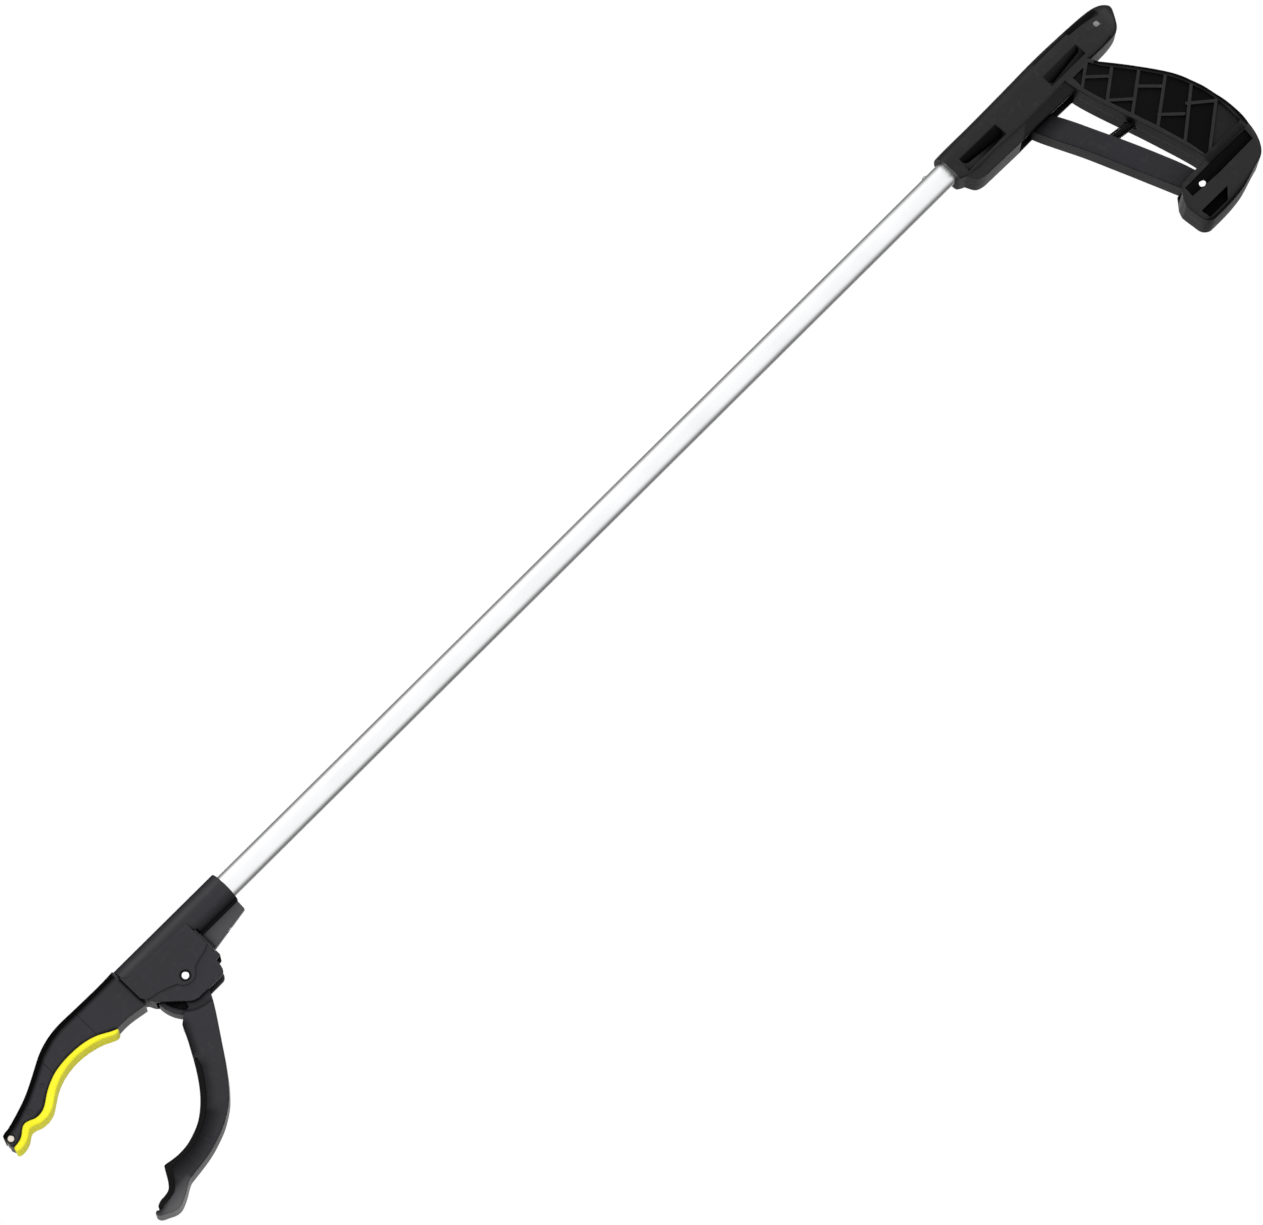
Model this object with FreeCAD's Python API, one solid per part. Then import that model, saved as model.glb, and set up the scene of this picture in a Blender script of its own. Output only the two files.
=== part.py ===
import FreeCAD, Part
import math
import os
from FreeCAD import Vector

# Reacher grabber, built as the separate pieces it comes apart into.
# Millimetres. +X runs along the tube towards the jaws, +Z points away from the grip,
# +Y is the left side, and the object is split by its middle plane Y = 0.
# The origin is on the tube's axis, in the plane of the handle's mouth.
# Points in pairs are (X, Z) in side view. A "half" width is measured from Y = 0.

# ------------------------------------------------------------------ driving dimensions
TUBE_R = 6.5                    # outside radius of the tube
TUBE_BORE_R = 5.5
TUBE_X0 = -34.0                 # rear end of the tube, inside the handle
TUBE_X1 = 545.5                 # front end of the tube, inside the head
ROD_R = 1.5                     # pull rod
PIN_R = 2.0                     # the two pivot pins and the two link pins
SEAT = 0.02                     # radial room of a fixed fit
RUN = 0.05                      # radial running clearance of the pivots and the rod
GUIDE_FIT = 0.03                # radial room of the rod guides in the tube

BARREL_W = 11.6                 # half width of the handle's barrel
KEEL_W = 9.7                    # half width of the keel and of the lips behind it
GRIP_W = 10.9                   # half width of the grip, over its raised ribs
FOOT_W = 11.3                   # half width of the foot
BAND_W = FOOT_W - 1.7           # half width at the floor of the foot's band
CELL_DEPTH = 1.5                # depth of the grip's brick cells
TRIGGER_W = 7.5                 # half width of the trigger
HEAD_W = 9.7                    # half width of the head's cheeks
EAR_W = 9.0                     # half width over the ears
EAR_GAP_W = 6.6                 # half width of the gap between the ears
HUB_W = 6.35                    # half width of the moving jaw's hub
JAW_W = 8.2                     # half width of the jaws
LINER_W = 8.0                   # half width of the liner and of the pad
SOCKET_R = 9.05                 # outside radius of the head's socket
SOCKET_X0 = 521.2               # rear end of the socket

TRIGGER_PIVOT = (-84.0, -99.2)
JAW_PIVOT = (567.2, -19.0)
TRIGGER_LEAN = 21.06            # forward lean of the trigger's slot at rest, degrees
JAW_LEAN = 18.4                 # forward lean of the jaw's lever at rest, degrees
SLOT_R = 2.25                   # half width of both slots for the link pins
REAR_LINK_X = TRIGGER_PIVOT[0] - TRIGGER_PIVOT[1] * math.tan(math.radians(TRIGGER_LEAN))
FRONT_LINK_X = JAW_PIVOT[0] - JAW_PIVOT[1] * math.tan(math.radians(JAW_LEAN))

ANCHOR = (-19.6, -4.0)          # pin that holds the tube in the handle, below the rod
ANCHOR_R = 1.25
HANG_HOLE = (-109.7, -1.4)
HANG_R = 1.5
SCREW_R = 1.25                  # shank of the handle screws
SMALL_SCREW_R = 1.1             # shank of the head's two screws
SCREW_TIP_Y = 6.6
SCREWS = [                      # place, post radius, head radius, Y under the head
    ((-19.6, -12.0), 2.4, 2.3, -KEEL_W + 1.4),
    ((-100.5, -2.2), 2.4, 2.3, -9.2),
    ((-104.5, -50.0), 3.3, 2.7, -GRIP_W + 2.0),
    ((-109.5, -99.6), 3.3, 2.7, -BAND_W + 1.4)]

RIVET_X = 10.0
RIVET_R = 1.0
HEAD_SCREW_X = 535.0            # screw from below, through the head's keel and the tube
HEAD_KEEL_Z = -16.55            # underside of the head's keel at that screw
JAW_SCREW = (587.6, -5.6)
JAW_SCREW_Y = -HEAD_W + 1.3     # under the head of the jaw joint's screw
MAGNET = (683.5, -15.2)
MAGNET_R = 2.3

SPRING_AT = Vector(-77.4, 0, -48.4)         # a point on the spring's line
SPRING_DIR = Vector(-0.990, 0, -0.139)      # rearwards, into the grip
SPRING_END = SPRING_AT + SPRING_DIR * 13.6  # floor of the spring's cup
SPRING_R = 2.15                 # radius of the wire's centre line
WIRE_R = 0.45
SPRING_TURNS = 16.0

X_AXIS = Vector(1, 0, 0)
Y_AXIS = Vector(0, 1, 0)
Z_AXIS = Vector(0, 0, 1)


# ------------------------------------------------------------------ helpers
def at_y(point, y):
    return Vector(point[0], y, point[1])


def spline(vectors):
    curve = Part.BSplineCurve()
    curve.interpolate(vectors)
    return curve.toShape()


def slab(runs, y0, y1):
    """A closed side outline, pushed from y0 to y1.

    Each run is one edge: straight for two points, a spline for more. A run may leave out
    its first point, which is then the point where the run before it (cyclically) ends.
    """
    edges = []
    for i, run in enumerate(runs):
        start = runs[i - 1][-1]
        points = run if run[0] == start else [start] + run
        vectors = [at_y(p, y0) for p in points]
        edges.append(Part.makeLine(*vectors) if len(vectors) == 2 else spline(vectors))
    return Part.Face(Part.Wire(edges)).extrude(Vector(0, y1 - y0, 0))


def plate(points, y0, y1):
    """A slab with straight edges only."""
    return slab([[p] for p in points[1:] + points[:1]], y0, y1)


def both(points, y0, y1):
    """The same plate on both sides of the middle plane."""
    return plate(points, y0, y1).fuse(plate(points, -y1, -y0))


def on_side(side, y0, y1):
    """The span y0 to y1 on the left (side 1) or mirrored to the right (side -1)."""
    return sorted((side * y0, side * y1))


def bar(start, end, width, y0, y1):
    """A straight bar round the line from start to end."""
    dx, dz = end[0] - start[0], end[1] - start[1]
    length = math.hypot(dx, dz)
    px, pz = -dz / length * width / 2, dx / length * width / 2
    return plate([(start[0] + px, start[1] + pz), (end[0] + px, end[1] + pz),
                  (end[0] - px, end[1] - pz), (start[0] - px, start[1] - pz)], y0, y1)


def cyl_y(point, r, y0, y1):
    return Part.makeCylinder(r, y1 - y0, at_y(point, y0), Y_AXIS)


def cyl_x(r, x0, x1, y=0.0, z=0.0):
    return Part.makeCylinder(r, x1 - x0, Vector(x0, y, z), X_AXIS)


def cyl_z(x, r, z0, z1):
    return Part.makeCylinder(r, z1 - z0, Vector(x, 0, z0), Z_AXIS)


def box(x0, x1, y0, y1, z0, z1):
    return Part.makeBox(x1 - x0, y1 - y0, z1 - z0, Vector(x0, y0, z0))


def turned(profile, origin, axis=Y_AXIS):
    """A turned part: profile is (along the axis, radius), turned about the axis."""
    vectors = [origin + axis * along + X_AXIS * radius for along, radius in profile]
    return Part.Face(Part.makePolygon(vectors + [vectors[0]])).revolve(origin, axis, 360)


def round_top(x0, x1, half, top, bottom):
    """A block along X with a half-elliptic top, straight sides and a flat bottom."""
    arch = []
    for i in range(15):
        angle = math.pi * i / 14
        arch.append(Vector(x0, half * math.cos(angle), top * math.sin(angle)))
    corners = [Vector(x0, -half, 0), Vector(x0, -half, bottom),
               Vector(x0, half, bottom), Vector(x0, half, 0)]
    wire = Part.Wire([spline(arch)] + [Part.makeLine(*pair) for pair in zip(corners, corners[1:])])
    return Part.Face(wire).extrude(Vector(x1 - x0, 0, 0))


def leaning(pivot, degrees, points):
    """Points given as (up from the pivot, to the front), leaned forward about the pivot."""
    sine, cosine = math.sin(math.radians(degrees)), math.cos(math.radians(degrees))
    return [(pivot[0] + sine * up + cosine * front, pivot[1] + cosine * up - sine * front)
            for up, front in points]


def one(shape):
    """The solid inside a compound that holds just one."""
    return shape.Solids[0] if len(shape.Solids) == 1 else shape


def soften(shape, pick, r, chamfer=False):
    """Rounds or bevels the picked edges."""
    edges = [e for e in shape.Edges if pick(e)]
    if not edges:
        return shape
    # The kernel can fail on some runs of edges, so smaller sizes are tried, then a bevel;
    # if nothing works the edges stay sharp.
    tries = [(chamfer, r * scale) for scale in (1.0, 0.7, 0.45)] + [(True, r * 0.6)]
    for bevel, size in tries:
        try:
            cut = shape.makeChamfer if bevel else shape.makeFillet
            out = one(cut(size, edges))
            if out.isValid() and out.Volume > 0.5 * shape.Volume:
                return out
        except Exception:
            pass
    return shape


def rims(y, extra=lambda e: True):
    """Picks edges that lie in the plane Y = y or Y = -y and pass the extra test."""
    def pick(e):
        span = e.LastParameter - e.FirstParameter
        ys = [e.valueAt(e.FirstParameter + t * span).y for t in (0, 0.37, 1)]
        in_plane = any(all(abs(v - level) < 1e-4 for v in ys) for level in (y, -y))
        return in_plane and extra(e)
    return pick


def flat_x(e):
    """Picks edges that lie in a plane across X."""
    return abs(e.BoundBox.XMax - e.BoundBox.XMin) < 1e-3


def save(name, shape):
    one(shape.removeSplitter()).exportStep("parts/%s.step" % name)


# ------------------------------------------------------------------ pins, screws and rings
def bevelled_pin(point, half_length, r, bevel):
    return turned([(-half_length, 0), (-half_length, r - bevel), (-half_length + bevel, r),
                   (half_length - bevel, r), (half_length, r - bevel), (half_length, 0)],
                  at_y(point, 0))


def pivot_pin(point, y0, y1):
    """A steel pin with softly rounded ends."""
    r = PIN_R
    return turned([(y0, 0), (y0, r - 0.5), (y0 + 0.2, r - 0.15), (y0 + 0.5, r), (y1 - 0.5, r),
                   (y1 - 0.2, r - 0.15), (y1, r - 0.5), (y1, 0)], at_y(point, 0))


def retainer(point, y_out, y_in, r_out):
    """Push-on ring: a thin dished ring, notched four times from its bore."""
    ring = turned([(y_out + 0.3, PIN_R + 0.1), (y_out, PIN_R + 0.6), (y_out + 0.2, r_out),
                   (y_in, r_out), (y_in, PIN_R + 0.1)], at_y(point, 0))
    for i in range(4):
        notch = box(-0.25, 0.25, y_out - 1, y_in + 1, 0.0, PIN_R + 1.1)
        notch.rotate(Vector(0, 0, 0), Y_AXIS, 45 + 90 * i)
        notch.translate(at_y(point, 0))
        ring = ring.cut(notch)
    return ring


def cross_y(point, y0, y1, arm, half):
    """A cross for the recess in a screw's head; half is half the width of an arm."""
    x, z = point
    return box(x - arm, x + arm, y0, y1, z - half, z + half).fuse(
        box(x - half, x + half, y0, y1, z - arm, z + arm))


def handle_screw(point, head_r, seat_y):
    """Pan-head screw along +Y; seat_y is the underside of its head."""
    length = SCREW_TIP_Y - seat_y
    screw = turned([(-1.5, 0.0), (-1.5, head_r * 0.62), (-1.1, head_r * 0.9), (-0.55, head_r),
                    (0.0, head_r), (0.0, SCREW_R), (length - 1.2, SCREW_R), (length, 0.35),
                    (length, 0.0)], at_y(point, seat_y))
    return screw.cut(cross_y(point, seat_y - 2.0, seat_y - 0.7, head_r * 0.55, 0.24))


def handle_screws():
    return Part.makeCompound([handle_screw(point, head_r, seat_y).Solids[0]
                              for point, post_r, head_r, seat_y in SCREWS])


def head_anchor_screw():
    """Countersunk screw along +Z, up through the head's keel."""
    r = SMALL_SCREW_R
    x, z = HEAD_SCREW_X, HEAD_KEEL_Z
    screw = turned([(0.0, 0.0), (0.0, 1.85), (0.5, 1.85), (1.4, r), (12.0, r), (12.8, 0.4),
                    (12.8, 0.0)], Vector(x, 0, z + 0.1), Z_AXIS)
    for half_x, half_y in ((1.2, 0.22), (0.22, 1.2)):
        screw = screw.cut(box(x - half_x, x + half_x, -half_y, half_y, z - 1, z + 0.6))
    return screw


def jaw_joint_screw():
    r = SMALL_SCREW_R
    screw = turned([(-1.2, 0.0), (-1.2, 1.3), (-0.7, 2.0), (0.0, 2.0), (0.0, r), (16.0, r),
                    (16.6, 0.4), (16.6, 0.0)], at_y(JAW_SCREW, JAW_SCREW_Y))
    return screw.cut(cross_y(JAW_SCREW, -HEAD_W - 1, -HEAD_W + 0.7, 1.2, 0.22))


# ------------------------------------------------------------------ handle: outer form
BARREL = [  # X, half width, top, bottom, level where the round top starts
    (0.0, 11.0, 8.9, -8.3, 0.0),
    (-3.0, 11.5, 9.0, -9.9, 0.0),
    (-20.0, 11.6, 9.0, -11.6, 0.0),
    (-38.0, 11.6, 9.1, -12.3, 0.0),
    (-56.0, 11.6, 9.4, -12.4, 0.0),
    (-76.0, 11.6, 9.7, -12.0, 0.0),
    (-92.0, 11.5, 9.3, -12.0, 0.0),
    (-104.0, 11.0, 8.8, -12.3, 0.0),
    (-112.0, 10.2, 8.2, -11.8, 0.0),
    (-117.5, 9.0, 7.2, -9.4, 0.0),
    (-120.8, 7.4, 5.8, -5.2, 0.4),
    (-123.2, 5.0, 4.0, -1.6, 1.0),
    (-124.6, 2.4, 2.7, 0.5, 1.6),
]
TOP_POWER = 2.35                # superellipse exponent of the round top; 2 is an ellipse
BARREL_CORNER_R = 3.0           # lower corners, where there is room for them


def barrel_section(x, half, top, bottom, shoulder):
    """One cross-section of the barrel: full round top, straight sides, round lower corners."""
    arch = []
    for i in range(17):
        cosine, sine = math.cos(math.pi * i / 16), math.sin(math.pi * i / 16)
        arch.append(Vector(x, half * math.copysign(abs(cosine) ** (2 / TOP_POWER), cosine),
                           shoulder + (top - shoulder) * abs(sine) ** (2 / TOP_POWER)))
    low = half * 0.975
    r = min(BARREL_CORNER_R, 0.45 * (shoulder - bottom), 0.6 * low)
    mid = r * (1 - math.sqrt(0.5))

    def spot(y, z):
        return Vector(x, y, z)

    return Part.Wire([
        spline(arch),
        Part.makeLine(spot(-half, shoulder), spot(-low, bottom + r)),
        Part.Arc(spot(-low, bottom + r), spot(-low + mid, bottom + mid),
                 spot(-low + r, bottom)).toShape(),
        Part.makeLine(spot(-low + r, bottom), spot(low - r, bottom)),
        Part.Arc(spot(low - r, bottom), spot(low - mid, bottom + mid),
                 spot(low, bottom + r)).toShape(),
        Part.makeLine(spot(low, bottom + r), spot(half, shoulder))])


def barrel():
    rear_x = BARREL[-1][0]
    body = Part.makeLoft([barrel_section(*station) for station in BARREL], True, False)
    return soften(body, lambda e: all(abs(v.X - rear_x) < 1e-3 for v in e.Vertexes), 0.6)


def handle_keel():
    """Keel under the front of the barrel, set in from the barrel's sides."""
    keel = slab([
        [(-2.2, -8.0), (-3.3, -9.6), (-4.6, -12.4), (-6.2, -15.0), (-9.5, -16.6), (-14.0, -17.0)],
        [(-37.5, -17.5)], [(-36.0, -12.0)], [(-36.0, -8.0)], [(-2.2, -8.0)]], -KEEL_W, KEEL_W)
    return soften(keel, rims(KEEL_W, lambda e: e.BoundBox.ZMax < -8.5 or e.BoundBox.XMax > -3), 2.2)


LIP = [(-35.5, -11.0), (-35.5, -17.45), (-45.2, -17.3), (-62.0, -17.9), (-80.0, -18.4),
       (-80.0, -11.0)]


def lips():
    """Narrow lips on both sides of the trigger's slot."""
    return [soften(plate(LIP, *on_side(side, 8.25, KEEL_W)),
                   rims(KEEL_W, lambda e: e.BoundBox.ZMax < -17.2), 0.9) for side in (1, -1)]


# The grip and foot share one outline, given from top to bottom and then forwards.
GRIP_FRONT = [
    (-75.6, -9.0), (-76.1, -16.5), (-78.5, -28.0), (-81.6, -38.9), (-84.7, -49.2),
    (-87.7, -59.4), (-90.5, -69.8), (-93.1, -79.8), (-95.3, -91.2)]
GRIP_REAR = [
    (-94.3, -14.3), (-96.8, -17.4), (-100.6, -22.3), (-104.2, -27.1), (-107.7, -32.0),
    (-111.1, -36.9), (-114.4, -41.9), (-117.5, -47.1), (-120.0, -52.5), (-121.9, -58.2),
    (-123.6, -63.9), (-124.6, -69.9), (-125.6, -75.8), (-126.0, -81.8), (-125.9, -87.8),
    (-124.8, -94.0)]
FOOT_REAR = [(-124.8, -94.0), (-123.6, -99.4), (-121.5, -104.4), (-118.4, -108.6), (-113.7, -111.0)]
FOOT_BELOW = [
    (-113.7, -111.0), (-108.8, -112.3), (-102.9, -114.1), (-97.0, -115.5), (-90.9, -116.2),
    (-83.0, -116.5), (-76.2, -116.4)]
FOOT_FRONT = [
    (-76.2, -116.4), (-72.9, -115.6), (-70.7, -113.1), (-70.0, -109.0), (-69.6, -104.8),
    (-69.4, -101.4)]
# Brick pattern: the sunk field, and the long slanting ribs and short ribs left standing in it.
FIELD = [
    (-79.2, -21.0), (-80.9, -28.3), (-84.2, -39.4), (-87.2, -49.6), (-90.2, -59.8),
    (-92.9, -70.2), (-95.2, -80.2), (-96.4, -89.6), (-122.6, -89.9), (-122.9, -81.8),
    (-122.9, -76.2), (-122.2, -70.4), (-121.2, -64.6), (-119.5, -59.1), (-117.7, -53.6),
    (-115.2, -48.3), (-112.3, -43.4), (-109.0, -38.4), (-105.6, -33.5), (-102.0, -28.6),
    (-98.4, -23.8), (-94.5, -18.8), (-91.4, -13.0), (-79.4, -13.0)]
RIBS = [  # start, end
    ((-73.0, -24.2), (-91.0, -11.8)), ((-76.0, -38.8), (-100.0, -21.7)),
    ((-84.0, -49.9), (-111.0, -31.0)), ((-86.0, -65.2), (-118.0, -43.0)),
    ((-89.0, -81.5), (-125.0, -54.6)), ((-95.5, -92.8), (-128.0, -69.4)),
    ((-83.7, -16.5), (-93.8, -26.2)), ((-82.6, -33.6), (-92.9, -43.0)),
    ((-98.6, -38.8), (-108.7, -49.3)), ((-95.2, -57.5), (-105.4, -67.4)),
    ((-109.6, -63.7), (-121.4, -73.6))]
RIB_WIDTH = 1.7


def rear_or_low(e):
    b = e.BoundBox
    return (b.XMin < -96.5 and b.ZMax < -14.0) or b.ZMax < -100.0


def front_corners(e):
    b = e.BoundBox
    return (b.XMax > -76.3 and b.ZMax > -12) or (b.XMin > -77 and b.ZMax < -91 and b.ZMin > -102)


def grip_and_foot():
    grip = slab([GRIP_FRONT[::-1], [(-91.5, -9.0)], [(-94.3, -14.3)],
                 GRIP_REAR, FOOT_REAR, FOOT_BELOW, FOOT_FRONT,
                 [(-71.2, -97.4)], [(-75.8, -92.0)], [(-95.3, -91.2)]], -FOOT_W, FOOT_W)
    grip = soften(grip, rims(FOOT_W, rear_or_low), 2.0)
    grip = soften(grip, rims(FOOT_W, front_corners), 0.9)
    # above the foot the sides are set in a little
    above = [(-135.0, -91.7), (-60.0, -91.7), (-60.0, 0.0), (-135.0, 0.0)]
    grip = grip.cut(both(above, GRIP_W, GRIP_W + 4))
    for side in (1, -1):
        y0, y1 = on_side(side, GRIP_W - CELL_DEPTH, GRIP_W + 2)
        ribs = [bar(start, end, RIB_WIDTH, y0 - 1, y1 + 1) for start, end in RIBS]
        grip = grip.cut(plate(FIELD, y0, y1).cut(ribs))
    return grip


# ------------------------------------------------------------------ handle: sunk outside areas
SCOOPS = [  # rear X, front X, upper Z, lower Z at the rear, lower Z at the front
    (-33.0, -6.2, -1.2, -8.9, -6.1),
    (-93.6, -68.9, -1.2, -5.4, -8.0)]
SCOOP_CORNER_R = 2.4
STEP = [(-95.2, 12.0), (-95.2, 4.2), (-104.0, 3.6), (-112.5, 1.9), (-114.6, 1.4), (-117.0, 12.0)]
BAND = [(-75.6, -94.6), (-96.0, -94.4), (-120.4, -94.9), (-119.6, -101.2), (-94.0, -101.4),
        (-75.0, -100.3)]
FOOT_POCKET = [(-72.3, -108.9), (-91.6, -109.2), (-86.2, -114.5), (-73.0, -114.4)]


def scoop(side, x0, x1, z_top, z_rear, z_front):
    """A pocket in the barrel's side: nothing at its upper edge, deepest at its lower edge."""
    y_edge = BARREL_W + 0.05
    y_deep = BARREL_W - 3.3
    ends = []
    for x, z_low in ((x0, z_rear), (x1, z_front)):
        corners = [Vector(x, side * y_edge, z_top), Vector(x, side * y_deep, z_low),
                   Vector(x, side * (y_edge + 2), z_low), Vector(x, side * (y_edge + 2), z_top)]
        ends.append(Part.Face(Part.makePolygon(corners + [corners[0]])).Wires[0])
    wedge = Part.makeLoft(ends, True, True)
    r = SCOOP_CORNER_R
    mid = 0.3 * r
    slope = (z_front - z_rear) / (x1 - x0)
    rounded = slab([
        [(x0, z_rear + r)],
        [(x0 + mid, z_rear + mid + mid * slope), (x0 + r, z_rear + r * slope)],
        [(x1 - r, z_front - r * slope)],
        [(x1 - mid, z_front + mid - mid * slope), (x1, z_front + r)],
        [(x1, z_top)], [(x0, z_top)]], side * 6.0, side * 15.0)
    return wedge.common(rounded)


def sunk_areas():
    areas = [scoop(side, *place) for side in (1, -1) for place in SCOOPS]
    # long flat step under the top edge of the rear end
    areas += [plate(STEP, *on_side(side, 9.1, 14)) for side in (1, -1)]
    # band across the foot, and the slanted pocket below it
    areas.append(both(BAND, BAND_W, FOOT_W + 2))
    areas.append(both(FOOT_POCKET, FOOT_W - 4.6, FOOT_W + 2))
    return areas


# ------------------------------------------------------------------ handle: inside
def handle_hollows():
    return [
        round_top(-74.0, -36.5, 7.1, 6.9, -12.0),               # fork's chamber
        box(-74.0, -36.5, -8.2, 8.2, -30.0, -9.5),              # trigger's chamber, open below
        box(-68.2, -56.5, -7.9, 7.9, -12.0, -8.0),              # room for the trigger's shoulders
        box(-66.5, -53.0, -6.2, 6.2, 0.0, 5.0),                 # room for the fork's upper corners
        round_top(-92.0, -71.0, 7.1, 6.9, -9.6),                # behind the trigger
        # two cells in the front of the barrel, carried down into the keel
        round_top(-17.6, -4.2, 7.0, 6.9, -9.0),
        round_top(-32.5, -21.6, 7.0, 6.9, -9.0),
        box(-17.6, -7.0, -7.2, 7.2, -14.4, -8.0),
        box(-32.5, -21.6, -7.2, 7.2, -14.8, -8.0),
        # rear end of the barrel
        plate([(-95.0, -9.6), (-95.0, 4.5), (-106.0, 4.0), (-106.0, -8.4)], -7.4, 7.4),
        # inside the grip
        slab([[(-81.2, -17.0), (-82.4, -27.5), (-85.7, -38.6), (-91.7, -59.0), (-96.8, -79.4),
               (-98.2, -88.6)],
              [(-120.6, -90.2)],
              [(-121.8, -80.0), (-120.6, -68.0), (-116.6, -54.6), (-108.2, -39.2),
               (-97.2, -23.6), (-92.9, -17.0)],
              [(-81.2, -17.0)]], -8.3, 8.3),
        # trigger's chamber in the foot, open in front and above
        slab([[(-93.2, -86.0)], [(-93.2, -101.0)],
              [(-92.0, -105.0), (-89.0, -107.3), (-84.0, -108.2)],
              [(-78.0, -108.2)], [(-75.6, -101.0)], [(-72.5, -93.0)], [(-72.5, -86.0)]],
             -7.9, 7.9),
        # rear part of the foot
        plate([(-97.6, -92.0), (-97.6, -106.0), (-105.0, -109.0), (-114.5, -106.4),
               (-119.0, -101.0), (-120.6, -92.0)], -7.4, 7.4)]


def spring_cup():
    """Boss for the spring, trimmed to the inside of the grip."""
    cup = Part.makeCylinder(4.9, 6.0, SPRING_AT + SPRING_DIR * 8.6, SPRING_DIR)
    return cup.common(slab([
        [(-80.2, -17.0), (-81.4, -27.5), (-84.7, -38.6), (-90.7, -59.0), (-95.8, -79.4),
         (-97.2, -88.6)],
        [(-122.0, -88.6)], [(-122.0, -17.0)], [(-80.2, -17.0)]], -8.4, 8.4))


def handle_holes():
    holes = [
        Part.makeCylinder(3.2, 9.6, SPRING_AT + SPRING_DIR * 4.0, SPRING_DIR),
        cyl_x(TUBE_R + SEAT, TUBE_X0 - 0.05, 1.0),
        cyl_x(2.6, -37.5, TUBE_X0 + 0.5),                       # rod's way behind the tube
        cyl_y(ANCHOR, ANCHOR_R + SEAT, -9.2, 9.2),
        cyl_y(TRIGGER_PIVOT, PIN_R + SEAT, -13, 13),
        cyl_y(TRIGGER_PIVOT, 4.0, -13, -BAND_W),                # room for the push-on ring
        cyl_y(HANG_HOLE, HANG_R, -13, 13)]
    for point, post_r, head_r, seat_y in SCREWS:
        holes.append(cyl_y(point, SCREW_R + SEAT, seat_y - 0.5, 7.2))
        holes.append(cyl_y(point, head_r + 0.15, -14, seat_y))
    return holes


def handle():
    body = barrel().fuse([handle_keel(), grip_and_foot()] + lips())
    body = body.cut(sunk_areas())
    body = body.cut(handle_hollows())
    posts = [cyl_y(point, post_r, -8.6, 8.6) for point, post_r, head_r, seat_y in SCREWS]
    body = body.fuse(posts + [spring_cup()])
    return body.cut(handle_holes())


# ------------------------------------------------------------------ tube, guides, rivet
def main_tube():
    tube = cyl_x(TUBE_R, TUBE_X0, TUBE_X1).cut(cyl_x(TUBE_BORE_R, TUBE_X0 - 1, TUBE_X1 + 1))
    # only the outer rims are longer than 36
    tube = soften(tube, lambda e: e.Length > 36 and flat_x(e), 0.3, chamfer=True)
    tube = tube.cut(cyl_y(ANCHOR, ANCHOR_R + SEAT, -9, 9))
    tube = tube.cut(cyl_z(RIVET_X, RIVET_R + SEAT, 0, 9))
    return tube.cut(cyl_z(HEAD_SCREW_X, SMALL_SCREW_R + SEAT, -9, 0))


def rod_guide(x0, x1):
    return cyl_x(TUBE_BORE_R - GUIDE_FIT, x0, x1).cut(cyl_x(ROD_R + RUN, x0 - 1, x1 + 1))


def rear_rod_guide():
    guide = rod_guide(RIVET_X - 7, RIVET_X + 7)
    guide = guide.cut(cyl_z(RIVET_X, RIVET_R + SEAT, 2.6, 9))
    for i in range(3):                      # three flutes along the outside
        angle = math.radians(210 + 120 * i)
        guide = guide.cut(cyl_x(1.3, RIVET_X - 8, RIVET_X + 8,
                                5.6 * math.cos(angle), 5.6 * math.sin(angle)))
    return guide


def front_rod_guide():
    guide = rod_guide(TUBE_X1 - 16, TUBE_X1)
    return guide.cut(cyl_z(HEAD_SCREW_X, SMALL_SCREW_R + SEAT, -9, -2.6))


def guide_rivet():
    """A domed head on the tube's top, with its shank down into the rear guide."""
    dome = Part.makeSphere(2.2, Vector(RIVET_X, 0, TUBE_R - 1.45)).common(
        box(RIVET_X - 3, RIVET_X + 3, -3, 3, TUBE_R - 0.9, 9))
    dome = dome.cut(cyl_x(TUBE_R, RIVET_X - 4, RIVET_X + 4))
    return dome.fuse(cyl_z(RIVET_X, RIVET_R, 3.0, TUBE_R - 0.2)).fuse(
        cyl_z(RIVET_X, RIVET_R, TUBE_R - 0.6, TUBE_R + 0.2))


# ------------------------------------------------------------------ head
CHEEK = [  # runs of the outline
    [(548.6, -15.4)],
    [(552.0, -16.9), (557.0, -18.2), (561.2, -19.6)],
    [(563.4, -22.2), (567.2, -23.4), (571.0, -22.0), (573.0, -19.2)],
    [(578.0, -17.1), (583.6, -15.2)],
    [(587.2, -14.6), (589.6, -13.0), (590.7, -10.4)],
    [(590.7, 3.4)], [(587.6, 0.2)], [(548.6, -0.8)]]
EARS = [  # runs of the outline
    [(547.6, -19.0)], [(548.9, -19.2)], [(548.9, -20.4)], [(547.7, -20.6)], [(547.7, -23.4)],
    [(551.0, -24.0)],
    [(551.4, -27.6), (552.5, -30.3), (555.2, -31.5)],
    [(570.4, -31.5)],
    [(573.4, -30.3), (576.6, -27.4)],
    [(587.0, -17.4)], [(588.6, -14.0)], [(588.6, -6.0)], [(547.6, -6.0)]]


def head_keel():
    keel = slab([[(522.4, -14.6)], [(537.6, -17.0), (549.8, -19.0)],
                 [(549.8, -6.0)], [(521.9, -6.0)]], -2.9, 2.9)

    def lower_edges(e):
        b = e.BoundBox
        return b.ZMax < -14.0 and abs(b.YMax - b.YMin) < 1e-3

    return soften(keel, lower_edges, 0.8)


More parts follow.
